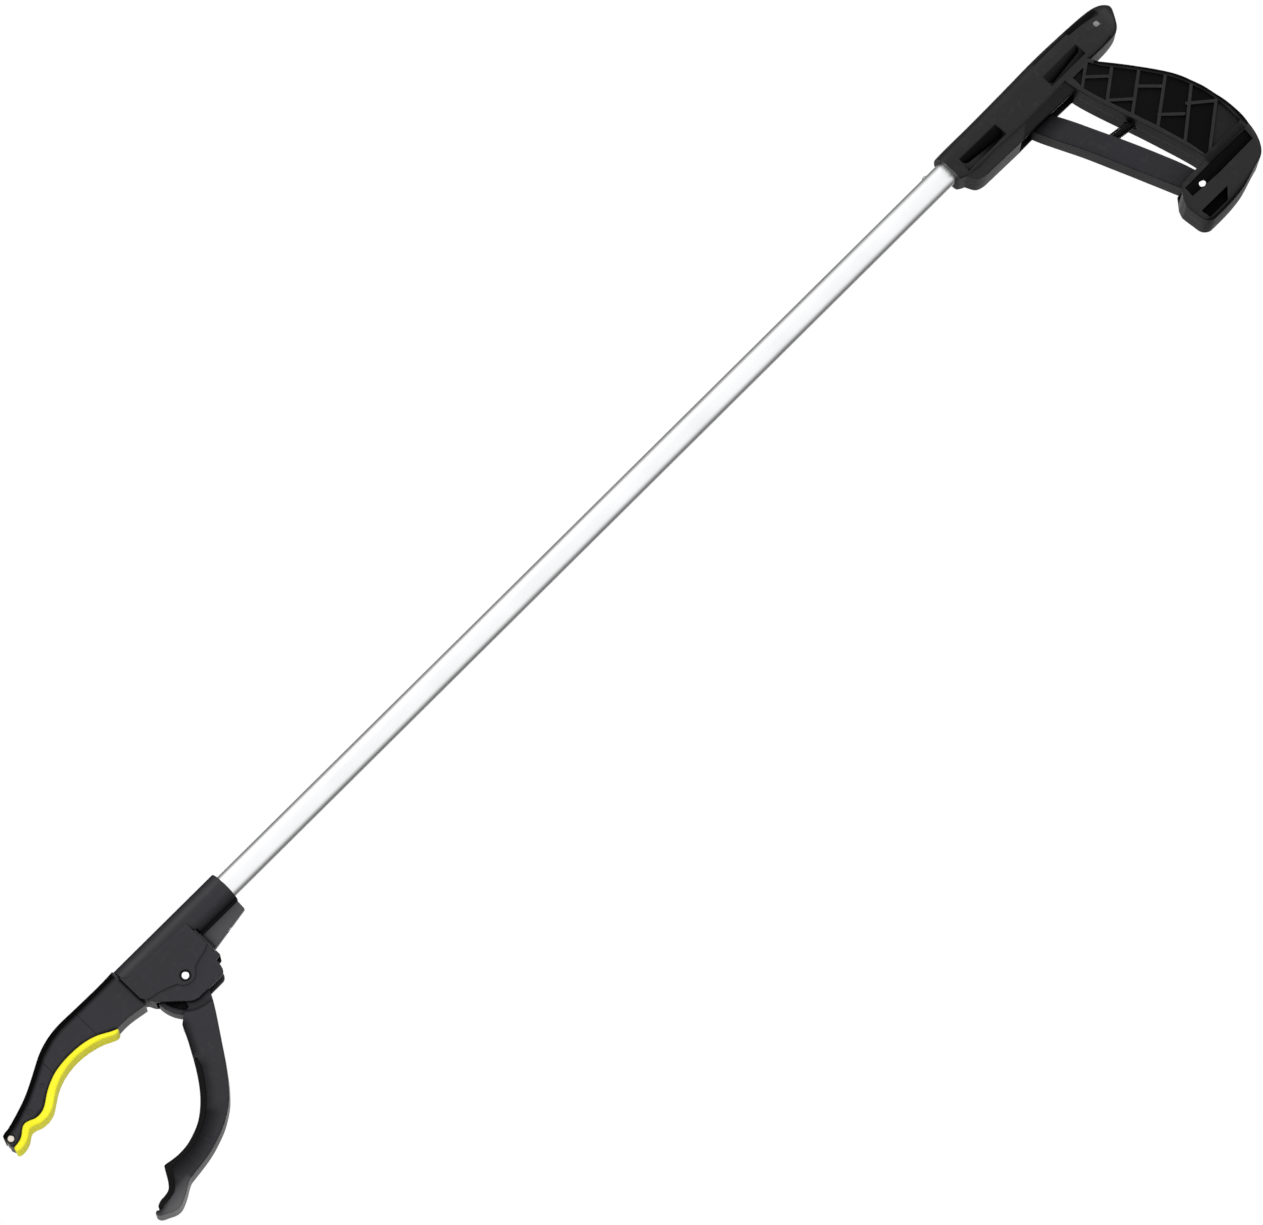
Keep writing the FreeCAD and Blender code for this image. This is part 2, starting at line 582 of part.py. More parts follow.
def head_body():
    socket = cyl_x(SOCKET_R, SOCKET_X0, 590.0)
    cheek = soften(slab(CHEEK, -HEAD_W, HEAD_W), rims(HEAD_W), 0.5)
    ears = soften(slab(EARS, -EAR_W, EAR_W), rims(EAR_W, lambda e: e.BoundBox.ZMax < -14.0), 0.7)
    core = box(548.6, 590.4, -8.3, 8.3, -12.0, 3.0)
    head = socket.fuse(core).fuse(ears).fuse(cheek).fuse(head_keel())

    def rear_rim(e):
        b = e.BoundBox
        return abs(b.XMin - SOCKET_X0) < 1e-3 and abs(b.XMax - SOCKET_X0) < 1e-3

    head = soften(head, rear_rim, 0.5)
    # raised line along each side above the cheek
    for side in (1, -1):
        head = head.fuse(box(549.0, 589.0, *on_side(side, 7.2, 8.75), 1.3, 2.3))
    # room for the lever and clevis, the gap between the ears, the fixed jaw's socket
    head = head.cut(round_top(546.4, 586.5, EAR_GAP_W, 6.2, -9.0))
    head = head.cut(box(547.9, 586.5, -EAR_GAP_W, EAR_GAP_W, -40.0, -8.5))
    head = head.cut(round_top(586.4, 592.0, EAR_GAP_W, 6.2, -10.6))
    # tube's seat, and the rod's way in front of it
    head = head.cut(cyl_x(TUBE_R + SEAT, SOCKET_X0 - 1, TUBE_X1 + 0.05))
    head = head.cut(cyl_x(3.0, TUBE_X1 - 1, 547.0))
    # anchor screw
    head = head.cut(cyl_z(HEAD_SCREW_X, SMALL_SCREW_R + SEAT, -20, -5.0))
    head = head.cut(cyl_z(HEAD_SCREW_X, 2.0, -20, HEAD_KEEL_Z + 1.5))
    # jaw pivot, with a counterbore round each end of the pin
    head = head.cut(cyl_y(JAW_PIVOT, PIN_R + SEAT, -15, 15))
    head = head.cut(cyl_y(JAW_PIVOT, 3.0, HEAD_W - 0.9, 15))
    head = head.cut(cyl_y(JAW_PIVOT, 3.9, -15, -HEAD_W + 0.5))
    # jaw joint's screw
    head = head.cut(cyl_y(JAW_SCREW, SMALL_SCREW_R + SEAT, -12, 8.4))
    return head.cut(cyl_y(JAW_SCREW, 2.15, -12, JAW_SCREW_Y))


# ------------------------------------------------------------------ fixed jaw
JAW_TOP = [
    (590.8, 8.3), (600.0, 7.9), (610.0, 8.0), (620.0, 8.2), (628.0, 8.3), (634.0, 7.7),
    (640.0, 6.3), (645.0, 4.4), (650.2, 1.7), (655.2, -1.0), (660.6, -3.8), (666.1, -6.2),
    (671.8, -8.2), (677.4, -9.9), (681.2, -10.9)]
JAW_NOSE = [(681.2, -10.9), (683.6, -11.1), (685.2, -11.7)]
SEAM = [  # where the liner meets the jaw, from rear to front
    (608.8, -13.6), (611.5, -12.6), (614.5, -10.9), (617.6, -9.2), (621.2, -7.8), (625.9, -6.7),
    (630.7, -6.2), (635.4, -6.1), (640.2, -6.4), (645.0, -7.2), (649.7, -8.8), (654.5, -11.2),
    (658.6, -14.0), (661.8, -15.9), (665.0, -16.7), (668.0, -16.4), (670.7, -15.2),
    (673.5, -14.6), (676.0, -15.6), (678.0, -17.3), (680.4, -18.6), (683.0, -19.2),
    (685.2, -19.3)]
JAW_BELOW = [(590.8, -15.2), (595.5, -14.4), (600.6, -13.6), (605.0, -13.4), (608.8, -13.6)]
GROOVE_W = 2.2                  # half width of the liner's rib
PANEL_LINES = [((617.9, 5.4), (617.9, -8.6)), ((646.2, 2.2), (646.2, -7.0))]
ROUND_MARKS = [((654.4, -7.4), 1.2), ((667.8, -12.6), 1.5)]     # place, radius
MARK_DEPTH = 0.22


def upper_rim(e):
    b = e.BoundBox
    return b.ZMin > -11.5 and b.ZMax > 3 and b.XMax > 600


def fixed_jaw():
    jaw = slab([JAW_TOP, JAW_NOSE, [(685.9, -13.2)], [(686.0, -17.2)], [(685.2, -19.3)],
                SEAM[::-1], JAW_BELOW[::-1], [(590.8, 8.3)]], -JAW_W, JAW_W)
    jaw = soften(jaw, rims(JAW_W, upper_rim), 3.0)
    # the tongue that plugs into the head
    tongue = round_top(580.0, 591.5, EAR_GAP_W - 0.03, 6.15, -10.55)
    tongue = tongue.cut(cyl_y(JAW_PIVOT, 20.0, -9, 9))
    tongue = tongue.cut(box(570, 586.6, -9, 9, -11, -5.0))
    jaw = jaw.fuse(tongue)
    jaw = jaw.cut(cyl_y(JAW_SCREW, SMALL_SCREW_R + SEAT, -12, 12))
    # magnet's groove, open at the front
    jaw = jaw.cut(cyl_y(MAGNET, MAGNET_R + 0.02, -10, 10))
    jaw = jaw.cut(box(MAGNET[0], 690, -10, 10, MAGNET[1] - 1.7, MAGNET[1] + 1.7))
    for side in (1, -1):
        y0, y1 = on_side(side, JAW_W - MARK_DEPTH, JAW_W + 1)
        for start, end in PANEL_LINES:
            jaw = jaw.cut(bar(start, end, 0.35, y0, y1))
        for point, r in ROUND_MARKS:
            jaw = jaw.cut(cyl_y(point, r, y0, y1))
    # locating groove for the liner's rib
    return jaw.cut(slab([
        [(615.0, -6.4)],
        [(621.4, -4.7), (630.7, -3.4), (640.4, -3.5), (649.0, -5.6), (655.0, -8.6)],
        [(655.0, -20.0)], [(615.0, -20.0)]], -GROOVE_W - 0.03, GROOVE_W + 0.03))


# ------------------------------------------------------------------ yellow liner
LINER_GAP = 0.03
LINER_TOP = [(x, z - LINER_GAP) for x, z in SEAM]
LINER_BELOW = [
    (608.6, -14.6), (610.8, -15.0), (613.2, -14.2), (618.2, -11.8), (624.1, -10.1),
    (630.1, -9.2), (636.0, -9.2), (641.5, -10.0), (646.6, -11.6), (651.0, -13.8),
    (655.3, -16.7), (659.3, -19.2), (663.5, -20.2), (667.6, -19.9), (670.6, -18.8),
    (673.0, -18.4), (675.0, -19.3), (677.4, -21.0), (680.6, -22.1), (683.6, -22.3),
    (685.9, -21.7)]


def fixed_jaw_liner():
    liner = slab([LINER_TOP, [LINER_BELOW[-1]], LINER_BELOW[::-1], [LINER_TOP[0]]],
                 -LINER_W, LINER_W)
    rib = slab([
        [(615.4, -6.6)],
        [(621.4, -5.0), (630.7, -3.7), (640.4, -3.8), (649.0, -5.9), (654.6, -8.7)],
        [(654.6, -14.0)],
        [(645.0, -9.6), (633.0, -8.0), (622.0, -9.6), (615.4, -12.5)]], -GROOVE_W, GROOVE_W)
    # the rib's lower side is trimmed to end inside the liner
    trim = slab([
        [(615.4, -11.5)],
        [(622.0, -8.4), (633.0, -6.8), (645.0, -8.2), (654.6, -12.4)],
        [(654.6, -2.0)], [(615.4, -2.0)]], -3, 3)
    liner = soften(liner, rims(LINER_W, lambda e: e.BoundBox.ZMin < -19.5), 0.7)
    return liner.fuse(rib.common(trim))


# ------------------------------------------------------------------ moving jaw
# The arm's outline, from the hub down its inner side, round the tip and back.
ARM_INNER = [
    (585.4, -34.9), (587.6, -39.8), (590.6, -45.3), (593.6, -50.7), (596.7, -55.9),
    (600.3, -61.2), (604.5, -66.4), (609.1, -70.8), (614.1, -74.4), (619.7, -76.9),
    (625.7, -78.6), (631.7, -79.0), (636.4, -78.5), (640.2, -77.9)]
TIP_INNER = [
    (640.2, -77.9), (641.4, -78.9), (643.0, -81.6), (645.2, -85.2), (647.6, -87.7),
    (650.8, -88.6), (654.0, -88.8), (657.2, -90.0), (660.2, -91.6)]
TIP_OUTER = [
    (660.2, -91.6), (659.6, -93.6), (656.4, -95.6), (652.9, -97.3), (649.7, -97.8),
    (646.3, -96.8), (642.3, -94.8), (638.9, -92.7), (636.2, -91.5)]
ARM_OUTER = [
    (636.2, -91.5), (630.4, -90.8), (624.4, -90.0), (618.5, -88.8), (612.7, -87.0),
    (607.0, -84.8), (601.6, -81.8), (596.9, -78.5), (592.9, -74.6), (588.9, -70.0),
    (585.1, -65.0), (581.3, -59.7), (577.9, -54.6), (574.5, -49.6), (571.1, -44.6),
    (567.7, -39.5), (564.9, -34.6)]
ARM = [ARM_INNER, TIP_INNER, TIP_OUTER, ARM_OUTER]
# The web between hub and arm, and its pockets, as (X, Z) from the jaw pivot.
WEB = [(2.0, -1.0), (30.0, -0.2), (30.0, -20.0), (14.0, -26.0)]
WEB_POCKET = [(7.0, -2.2), (30.0, -2.2), (30.0, -14.0), (9.5, -11.5)]
LEVER = [  # up from the pivot, to the front
    (0, -4.6), (0, 4.6), (17, 4.1), (23.0, 4.1), (24.2, 2.6), (24.2, -2.6), (23.0, -4.1),
    (17, -4.1)]
JAW_SLOT = (18.3, 20.6)         # heights of the slot's two end centres above the pivot
PAD_T = 3.0                     # thickness of the rubber pad


def inset(points, depth):
    """The points of a run moved sideways by depth, into the arm."""
    out = []
    for i, (x, z) in enumerate(points):
        before = points[max(i - 1, 0)]
        after = points[min(i + 1, len(points) - 1)]
        dx, dz = after[0] - before[0], after[1] - before[1]
        length = math.hypot(dx, dz)
        out.append((x + dz / length * depth, z - dx / length * depth))
    return out


PAD_ARM = ARM_INNER[3:]
PAD_TIP = TIP_INNER[:-1]
PAD_BACK = [(592.0, -51.8)] + inset(PAD_ARM, PAD_T)[1:-1] + [
    (638.4, -81.6), (640.4, -83.7), (642.8, -87.2), (646.0, -90.3), (650.2, -91.5),
    (653.4, -91.7), (656.3, -92.4)]


def from_jaw_pivot(points):
    return [(JAW_PIVOT[0] + x, JAW_PIVOT[1] + z) for x, z in points]


def jaw_link_slot():
    low, high = JAW_SLOT
    corners = [(low, -SLOT_R), (low, SLOT_R), (high, SLOT_R), (high, -SLOT_R)]
    slot = plate(leaning(JAW_PIVOT, JAW_LEAN, corners), -3, 3)
    for centre in leaning(JAW_PIVOT, JAW_LEAN, [(low, 0.0), (high, 0.0)]):
        slot = slot.fuse(cyl_y(centre, SLOT_R, -3, 3))
    return slot


def moving_jaw():
    # full width outside the ears' reach, narrow near the hub
    wide = slab(ARM + [[(562.4, -30.0)], [(573.0, -26.0)], [(579.9, -30.9)], [(585.4, -34.9)]],
                -JAW_W, JAW_W)
    wide = soften(wide, rims(JAW_W, lambda e: e.BoundBox.ZMax < -33.0), 1.0)
    wide = wide.cut(cyl_y(JAW_PIVOT, 17.6, -20, 20))
    narrow = slab(ARM + [[(560.6, -26.0)], [(579.0, -22.0)], [(585.4, -34.9)]], -JAW_W, JAW_W)
    narrow = narrow.common(box(540, 700, -HUB_W, HUB_W, -100, 0))
    narrow = narrow.common(cyl_y(JAW_PIVOT, 18.4, -20, 20))
    hub = cyl_y(JAW_PIVOT, 6.2, -HUB_W, HUB_W)
    web = cyl_y(JAW_PIVOT, 18.8, -HUB_W, HUB_W).common(
        plate(from_jaw_pivot(WEB), -HUB_W, HUB_W))
    jaw = wide.fuse(narrow).fuse(hub).fuse(web)
    for side in (1, -1):
        y0, y1 = on_side(side, 2.2, 8)
        jaw = jaw.cut(cyl_y(JAW_PIVOT, 16.4, y0, y1).common(
            plate(from_jaw_pivot(WEB_POCKET), y0, y1)))
    jaw = jaw.fuse(plate(leaning(JAW_PIVOT, JAW_LEAN, LEVER), -2.0, 2.0)).cut(jaw_link_slot())
    jaw = jaw.cut(cyl_y(JAW_PIVOT, PIN_R + RUN, -9, 9))
    # seat for the rubber pad
    return jaw.cut(slab([PAD_BACK, [(658.6, -91.4)], [(663.0, -84.0)], [(640.0, -60.0)],
                         [(600.0, -44.0)], [PAD_BACK[0]]], -12, 12))


def moving_jaw_pad():
    pad = slab([PAD_ARM, PAD_TIP, [PAD_BACK[-1]], PAD_BACK[::-1], [PAD_ARM[0]]],
               -LINER_W, LINER_W)
    pad.translate(Vector(0.025, 0, 0.03))       # a hair off its seat
    return pad


# ------------------------------------------------------------------ trigger
TRIGGER_FRONT = [
    (-45.3, -16.4), (-46.0, -18.6), (-49.2, -26.4), (-52.9, -34.6), (-56.6, -42.8),
    (-60.0, -51.2), (-63.3, -59.7), (-66.6, -68.1), (-69.8, -76.5), (-73.1, -85.1),
    (-75.7, -91.9), (-77.4, -96.0)]
TRIGGER_REAR = [
    (-90.2, -96.0), (-88.4, -92.4), (-86.9, -87.4), (-84.9, -81.1), (-81.7, -72.4),
    (-78.4, -63.8), (-74.9, -55.1), (-70.8, -45.4), (-66.8, -36.0), (-63.0, -27.2),
    (-59.8, -20.6), (-57.8, -16.4)]
SHOULDERS = [(92.0, -5.6), (92.0, 5.8)]         # up from the pivot, to the front
FORK = [(86, -4.6), (86, 4.6), (104.9, 4.3), (106.3, 3.1), (106.3, -3.1), (104.9, -4.3)]
FORK_SLOT_FLOOR = 102.0                         # centre of the slot's round floor
CHANNEL_FRONT = [
    (-50.6, -21.0), (-53.6, -27.6), (-57.4, -35.9), (-61.1, -44.2), (-64.4, -52.6),
    (-67.7, -61.1), (-71.0, -69.5), (-74.2, -77.9), (-77.0, -85.4), (-78.6, -90.2)]
CROSS_WEBS = [
    ((-50.0, -33.5), (-75.0, -24.0)), ((-60.0, -70.0), (-92.0, -58.0)),
    ((-66.0, -84.5), (-98.0, -72.5))]


def on_trigger(points):
    return leaning(TRIGGER_PIVOT, TRIGGER_LEAN, points)


def fork_slot():
    """Slot for the rear link pin, open at the top."""
    low, high = FORK_SLOT_FLOOR, 110
    corners = [(low, -SLOT_R), (low, SLOT_R), (high, SLOT_R), (high, -SLOT_R)]
    return plate(on_trigger(corners), -9, 9).fuse(
        cyl_y(on_trigger([(low, 0.0)])[0], SLOT_R, -9, 9))


def trigger():
    sides = [TRIGGER_FRONT, [TRIGGER_REAR[0]], TRIGGER_REAR]
    close = [TRIGGER_FRONT[0]]
    body = slab(sides + [[p] for p in on_trigger(SHOULDERS)] + [close], -TRIGGER_W, TRIGGER_W)
    body = soften(body, rims(TRIGGER_W, lambda e: e.Length > 60 and e.BoundBox.XMax > -50), 1.8)
    body = soften(body, rims(TRIGGER_W, lambda e: e.Length > 60 and e.BoundBox.XMax < -55), 0.8)
    body = body.fuse(cyl_y(TRIGGER_PIVOT, 6.5, -TRIGGER_W, TRIGGER_W))
    body = body.fuse(both(on_trigger(FORK), 3.3, 5.7)).cut(fork_slot())
    # channel behind the front wall, with cross webs
    channel = slab([CHANNEL_FRONT, [(-92.0, -90.2)], [(-62.0, -12.0)], [(-50.6, -21.0)]],
                   -TRIGGER_W + 2.0, TRIGGER_W - 2.0)
    body = body.cut(channel.cut([bar(start, end, 1.6, -9, 9) for start, end in CROSS_WEBS]))
    # round block in front of the spring, trimmed to the trigger's outline
    spring_seat = Part.makeCylinder(3.9, 20.0, SPRING_AT - SPRING_DIR * 13.2, SPRING_DIR * -1)
    body = body.fuse(spring_seat.common(slab(sides + [close], -5.6, 5.6)))
    return body.cut(cyl_y(TRIGGER_PIVOT, PIN_R + RUN, -9, 9))


def trigger_return_spring():
    start = SPRING_AT - SPRING_DIR * 12.6
    length = (SPRING_END - start).Length - 0.55
    helix = Part.makeHelix(length / SPRING_TURNS, length, SPRING_R)
    wire = Part.Wire([Part.makeCircle(WIRE_R, Vector(SPRING_R, 0, 0), Y_AXIS)])
    coil = Part.Wire(helix.Edges).makePipeShell([wire], True, True)
    coil.Placement = FreeCAD.Placement(start, FreeCAD.Rotation(Z_AXIS, SPRING_DIR))
    return coil


# ------------------------------------------------------------------ pull rod with its ends
def pull_rod():
    rod = cyl_x(ROD_R, REAR_LINK_X + 4.2, FRONT_LINK_X - 7.0)
    return soften(rod, flat_x, 0.3, chamfer=True)


def longer_in_y(length):
    """Picks edges that reach over more than this length in Y."""
    return lambda e: abs(e.BoundBox.YMax - e.BoundBox.YMin) > length


def rear_rod_end():
    x = REAR_LINK_X
    end = box(x - 3.8, x + 9.2, -3.0, 3.0, -3.8, 3.8)
    end = soften(end, longer_in_y(5.9), 2.4)
    end = end.cut(cyl_y((x, 0), PIN_R + SEAT, -9, 9))
    return end.cut(cyl_x(ROD_R + SEAT, x + 4.15, x + 20))


def front_rod_end():
    """A clevis round the moving jaw's lever."""
    x = FRONT_LINK_X
    end = box(x - 11.8, x + 4.0, -4.15, 4.15, -4.0, 4.0)
    end = soften(end, longer_in_y(8.0), 2.6)
    end = end.cut(box(x - 6.6, x + 6, -2.25, 2.25, -6, 6))
    end = end.cut(cyl_y((x, 0), PIN_R + SEAT, -9, 9))
    return end.cut(cyl_x(ROD_R + SEAT, x - 20, x - 6.95))


def rod_lock_nut():
    """Hexagon nut behind the front rod end."""
    corners = []
    for i in range(6):
        angle = math.radians(60 * i + 30)
        corners.append(Vector(FRONT_LINK_X - 14.0, 3.1 * math.cos(angle), 3.1 * math.sin(angle)))
    nut = Part.Face(Part.makePolygon(corners + [corners[0]])).extrude(Vector(2.1, 0, 0))
    return nut.cut(cyl_x(ROD_R + SEAT, FRONT_LINK_X - 20, FRONT_LINK_X))


# ------------------------------------------------------------------ write the pieces
os.makedirs("parts", exist_ok=True)

REACH = 400.0                   # larger than the handle in every direction
whole_handle = handle()
save("handle_shell_left", whole_handle.common(box(-REACH, REACH, 0, REACH, -REACH, REACH)))
save("handle_shell_right", whole_handle.common(box(-REACH, REACH, -REACH, 0, -REACH, REACH)))
save("handle_screws", handle_screws())
save("tube_anchor_pin", bevelled_pin(ANCHOR, 9.0, ANCHOR_R, 0.25))
save("trigger_pivot_pin", pivot_pin(TRIGGER_PIVOT, -BAND_W - 1.2, BAND_W + 0.5))
save("trigger_pin_retainer", retainer(TRIGGER_PIVOT, -BAND_W - 0.85, -BAND_W - 0.02, 3.6))
save("main_tube", main_tube())
save("rear_rod_guide", rear_rod_guide())
save("guide_rivet", guide_rivet())
save("front_rod_guide", front_rod_guide())
save("head_body", head_body())
save("head_anchor_screw", head_anchor_screw())
save("jaw_pivot_pin", pivot_pin(JAW_PIVOT, -HEAD_W - 0.5, HEAD_W - 0.1))
save("jaw_pin_retainer", retainer(JAW_PIVOT, -HEAD_W - 0.2, -HEAD_W + 0.48, 3.7))
save("fixed_jaw", fixed_jaw())
save("jaw_joint_screw", jaw_joint_screw())
save("fixed_jaw_liner", fixed_jaw_liner())
save("tip_magnet", bevelled_pin(MAGNET, 7.2, MAGNET_R, 0.3))
save("moving_jaw", moving_jaw())
save("moving_jaw_pad", moving_jaw_pad())
save("trigger", trigger())
save("trigger_return_spring", trigger_return_spring())
save("pull_rod", pull_rod())
save("rear_rod_end", rear_rod_end())
save("rear_link_pin", pivot_pin((REAR_LINK_X, 0), -6.1, 6.1))
save("front_rod_end", front_rod_end())
save("front_link_pin", pivot_pin((FRONT_LINK_X, 0), -4.6, 4.6))
save("rod_lock_nut", rod_lock_nut())
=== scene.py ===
import math
from collections import namedtuple

import bmesh
import bpy
from mathutils import Matrix, Vector


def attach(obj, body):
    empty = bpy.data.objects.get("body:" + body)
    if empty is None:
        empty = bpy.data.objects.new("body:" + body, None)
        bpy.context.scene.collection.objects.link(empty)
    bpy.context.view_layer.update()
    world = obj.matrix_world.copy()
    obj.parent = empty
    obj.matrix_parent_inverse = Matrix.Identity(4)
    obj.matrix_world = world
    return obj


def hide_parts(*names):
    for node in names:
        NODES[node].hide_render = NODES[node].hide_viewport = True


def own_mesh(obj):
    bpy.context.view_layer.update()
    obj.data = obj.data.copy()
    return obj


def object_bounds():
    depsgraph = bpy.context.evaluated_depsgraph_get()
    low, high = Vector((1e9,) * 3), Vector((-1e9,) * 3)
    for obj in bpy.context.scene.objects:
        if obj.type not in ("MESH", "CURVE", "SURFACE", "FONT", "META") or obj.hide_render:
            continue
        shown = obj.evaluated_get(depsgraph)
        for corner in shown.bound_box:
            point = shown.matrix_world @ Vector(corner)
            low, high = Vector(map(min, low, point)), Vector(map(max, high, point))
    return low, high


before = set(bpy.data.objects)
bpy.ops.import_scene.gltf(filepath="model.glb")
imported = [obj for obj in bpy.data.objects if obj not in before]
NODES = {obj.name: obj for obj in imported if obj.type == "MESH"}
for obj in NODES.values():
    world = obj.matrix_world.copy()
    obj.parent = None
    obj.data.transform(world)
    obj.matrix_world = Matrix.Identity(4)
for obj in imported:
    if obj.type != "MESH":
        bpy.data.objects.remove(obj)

# Reacher grabber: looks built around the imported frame. Metres, in the frame's own axes:
# +X along the tube to the jaws, +Z away from the grip, +Y to the side the camera is on.
# Measured outlines and zones are in millimetres, and MM turns them into metres.

MM = 0.001
CAD_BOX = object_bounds()
scene = bpy.context.scene

WHITE = (1.0, 1.0, 1.0, 1.0)


# ---------------------------------------------------------------- node trees
def srgb(*levels):
    """Linear RGBA from 0..255 display levels."""
    def linear(level):
        share = level / 255.0
        return share / 12.92 if share <= 0.04045 else ((share + 0.055) / 1.055) ** 2.4
    return (*map(linear, levels), 1.0)


def scaled(colour, factor, lift=0.0):
    """The colour times a factor, plus a lift, held below white."""
    return tuple(min(1.0, channel * factor + lift) for channel in colour[:3]) + (1.0,)


class Graph:
    """The node tree of a material or a world. An input takes a value or an output socket."""

    def __init__(self, owner):
        owner.use_nodes = True
        self.tree = owner.node_tree
        self.tree.nodes.clear()

    def fill(self, node, inputs):
        for key, value in inputs.items():
            if isinstance(value, bpy.types.NodeSocket):
                self.tree.links.new(value, node.inputs[key])
            else:
                node.inputs[key].default_value = value

    def add(self, kind, inputs=None, **props):
        node = self.tree.nodes.new(kind)
        for key, value in props.items():
            setattr(node, key, value)
        self.fill(node, inputs or {})
        return node

    def math(self, operation, *values):
        node = self.add("ShaderNodeMath", dict(enumerate(values)), operation=operation)
        return node.outputs[0]

    def vector(self, operation, *values, result="Vector"):
        node = self.add("ShaderNodeVectorMath", dict(enumerate(values)), operation=operation)
        return node.outputs[result]

    def remap(self, value, source, target, **props):
        """Carry the source range (from, to) over to the target range (from, to)."""
        node = self.add("ShaderNodeMapRange", {
            "Value": value,
            "From Min": source[0],
            "From Max": source[1],
            "To Min": target[0],
            "To Max": target[1],
        }, **props)
        return node.outputs["Result"]

    def mix(self, share, first, second):
        # sockets 0, 6, 7 and output 2 are the mix node's factor, A, B and result for colours
        node = self.add("ShaderNodeMix", {0: share, 6: first, 7: second}, data_type="RGBA")
        return node.outputs[2]

    def mix_shader(self, share, first, second):
        return self.add("ShaderNodeMixShader", {0: share, 1: first, 2: second}).outputs[0]


class Surface(Graph):
    """A material round one Principled shader, textured in object space."""

    def __init__(self, name):
        self.material = bpy.data.materials.new(name)
        super().__init__(self.material)
        self.bsdf = self.add("ShaderNodeBsdfPrincipled")
        self.add("ShaderNodeOutputMaterial", {"Surface": self.bsdf.outputs["BSDF"]})
        self.position = self.add("ShaderNodeTexCoord").outputs["Object"]

    def set(self, inputs):
        self.fill(self.bsdf, inputs)

    def noise(self, scale, detail, roughness, vector=None):
        return self.add("ShaderNodeTexNoise", {
            "Scale": scale,
            "Detail": detail,
            "Roughness": roughness,
            "Vector": vector or self.position,
        }).outputs["Fac"]

    def ramp(self, value, low_stop, high_stop):
        """Two-colour ramp; a stop is (position, colour)."""
        node = self.add("ShaderNodeValToRGB", {"Fac": value})
        for element, (place, colour) in zip(node.color_ramp.elements, (low_stop, high_stop)):
            element.position = place
            element.color = colour
        return node.outputs["Color"]

    def bevel(self, radius, samples):
        return self.add("ShaderNodeBevel", {"Radius": radius}, samples=samples).outputs["Normal"]

    def bump(self, height, normal, strength, distance):
        return self.add("ShaderNodeBump", {
            "Strength": strength,
            "Distance": distance,
            "Height": height,
            "Normal": normal,
        }).outputs["Normal"]


# ---------------------------------------------------------------- zones of painted light and shade
# A zone is a box in the side view, on axes u and v turned about the point x, z, where a material
# gets painted shade or painted light.
# Lengths are millimetres, turn is degrees, y is the distance from the middle plane.
# The strength runs from "start" at v_low to "end" at the share "reach" of the way to v_high.
# "faces" is "flat" for those square to Y, "side" for those that lean to Y, or "all".
Zone = namedtuple(
    "Zone",
    "x z turn u_low u_high v_low v_high y_low y_high start end soft faces reach",
    defaults=(1.0,))

# |Y| of the face normal over which a kind of face fades in
FACE_RANGES = {"flat": (0.45, 0.65), "side": (0.10, 0.38)}
Y_SOFTNESS = 0.00025


def edge_band(points, v, strength, reach=1.0, y_high=20.0, soft=0.22, overlap=0.25,
              faces="side"):
    """Zones that follow an outline; v is the distance to the left of the way the points run."""
    return [
        Zone(
            x=xa, z=za, turn=math.degrees(math.atan2(zb - za, xb - xa)),
            u_low=-overlap, u_high=math.hypot(xb - xa, zb - za) + overlap,
            v_low=v[0], v_high=v[1], y_low=0.0, y_high=y_high,
            start=strength[0], end=strength[1], soft=soft, faces=faces, reach=reach)
        for (xa, za), (xb, zb) in zip(points, points[1:])
    ]


class ZoneMasks:
    """Turns zones into mask sockets that share the position and normal nodes."""

    def __init__(self, surface, geometry, zones):
        self.surface = surface
        self.side_distance = self.absolute_y(surface.position)
        kinds = {zone.faces for zone in zones} - {"all"}
        self.facing = {}
        if kinds:
            normal_y = self.absolute_y(geometry.outputs["True Normal"])
            for kind in sorted(kinds):
                self.facing[kind] = surface.remap(normal_y, FACE_RANGES[kind], (0.0, 1.0))

    def absolute_y(self, vector):
        split = self.surface.add("ShaderNodeSeparateXYZ", {0: vector})
        return self.surface.math("ABSOLUTE", split.outputs["Y"])

    def between(self, value, low, high, soft):
        rise = self.surface.remap(value, (low - soft, low + soft), (0.0, 1.0))
        fall = self.surface.remap(value, (high - soft, high + soft), (1.0, 0.0))
        return self.surface.math("MULTIPLY", rise, fall)

    def mask(self, zone):
        s = self.surface
        offset = s.vector("SUBTRACT", s.position, (zone.x * MM, 0.0, zone.z * MM))
        cosine = math.cos(math.radians(zone.turn))
        sine = math.sin(math.radians(zone.turn))
        u = s.vector("DOT_PRODUCT", offset, (cosine, 0.0, sine), result="Value")
        v = s.vector("DOT_PRODUCT", offset, (-sine, 0.0, cosine), result="Value")
        soft = zone.soft * MM
        in_u = self.between(u, zone.u_low * MM, zone.u_high * MM, soft)
        in_v = self.between(v, zone.v_low * MM, zone.v_high * MM, soft)
        in_y = self.between(self.side_distance, zone.y_low * MM, zone.y_high * MM, Y_SOFTNESS)
        v_full = zone.v_low + zone.reach * (zone.v_high - zone.v_low)
        strength = s.remap(v, (zone.v_low * MM, v_full * MM), (zone.start, zone.end))
        inside = s.math("MULTIPLY", s.math("MULTIPLY", in_u, in_v), in_y)
        weight = s.math("MULTIPLY", inside, strength)
        if zone.faces == "all":
            return weight
        return s.math("MULTIPLY", weight, self.facing[zone.faces])


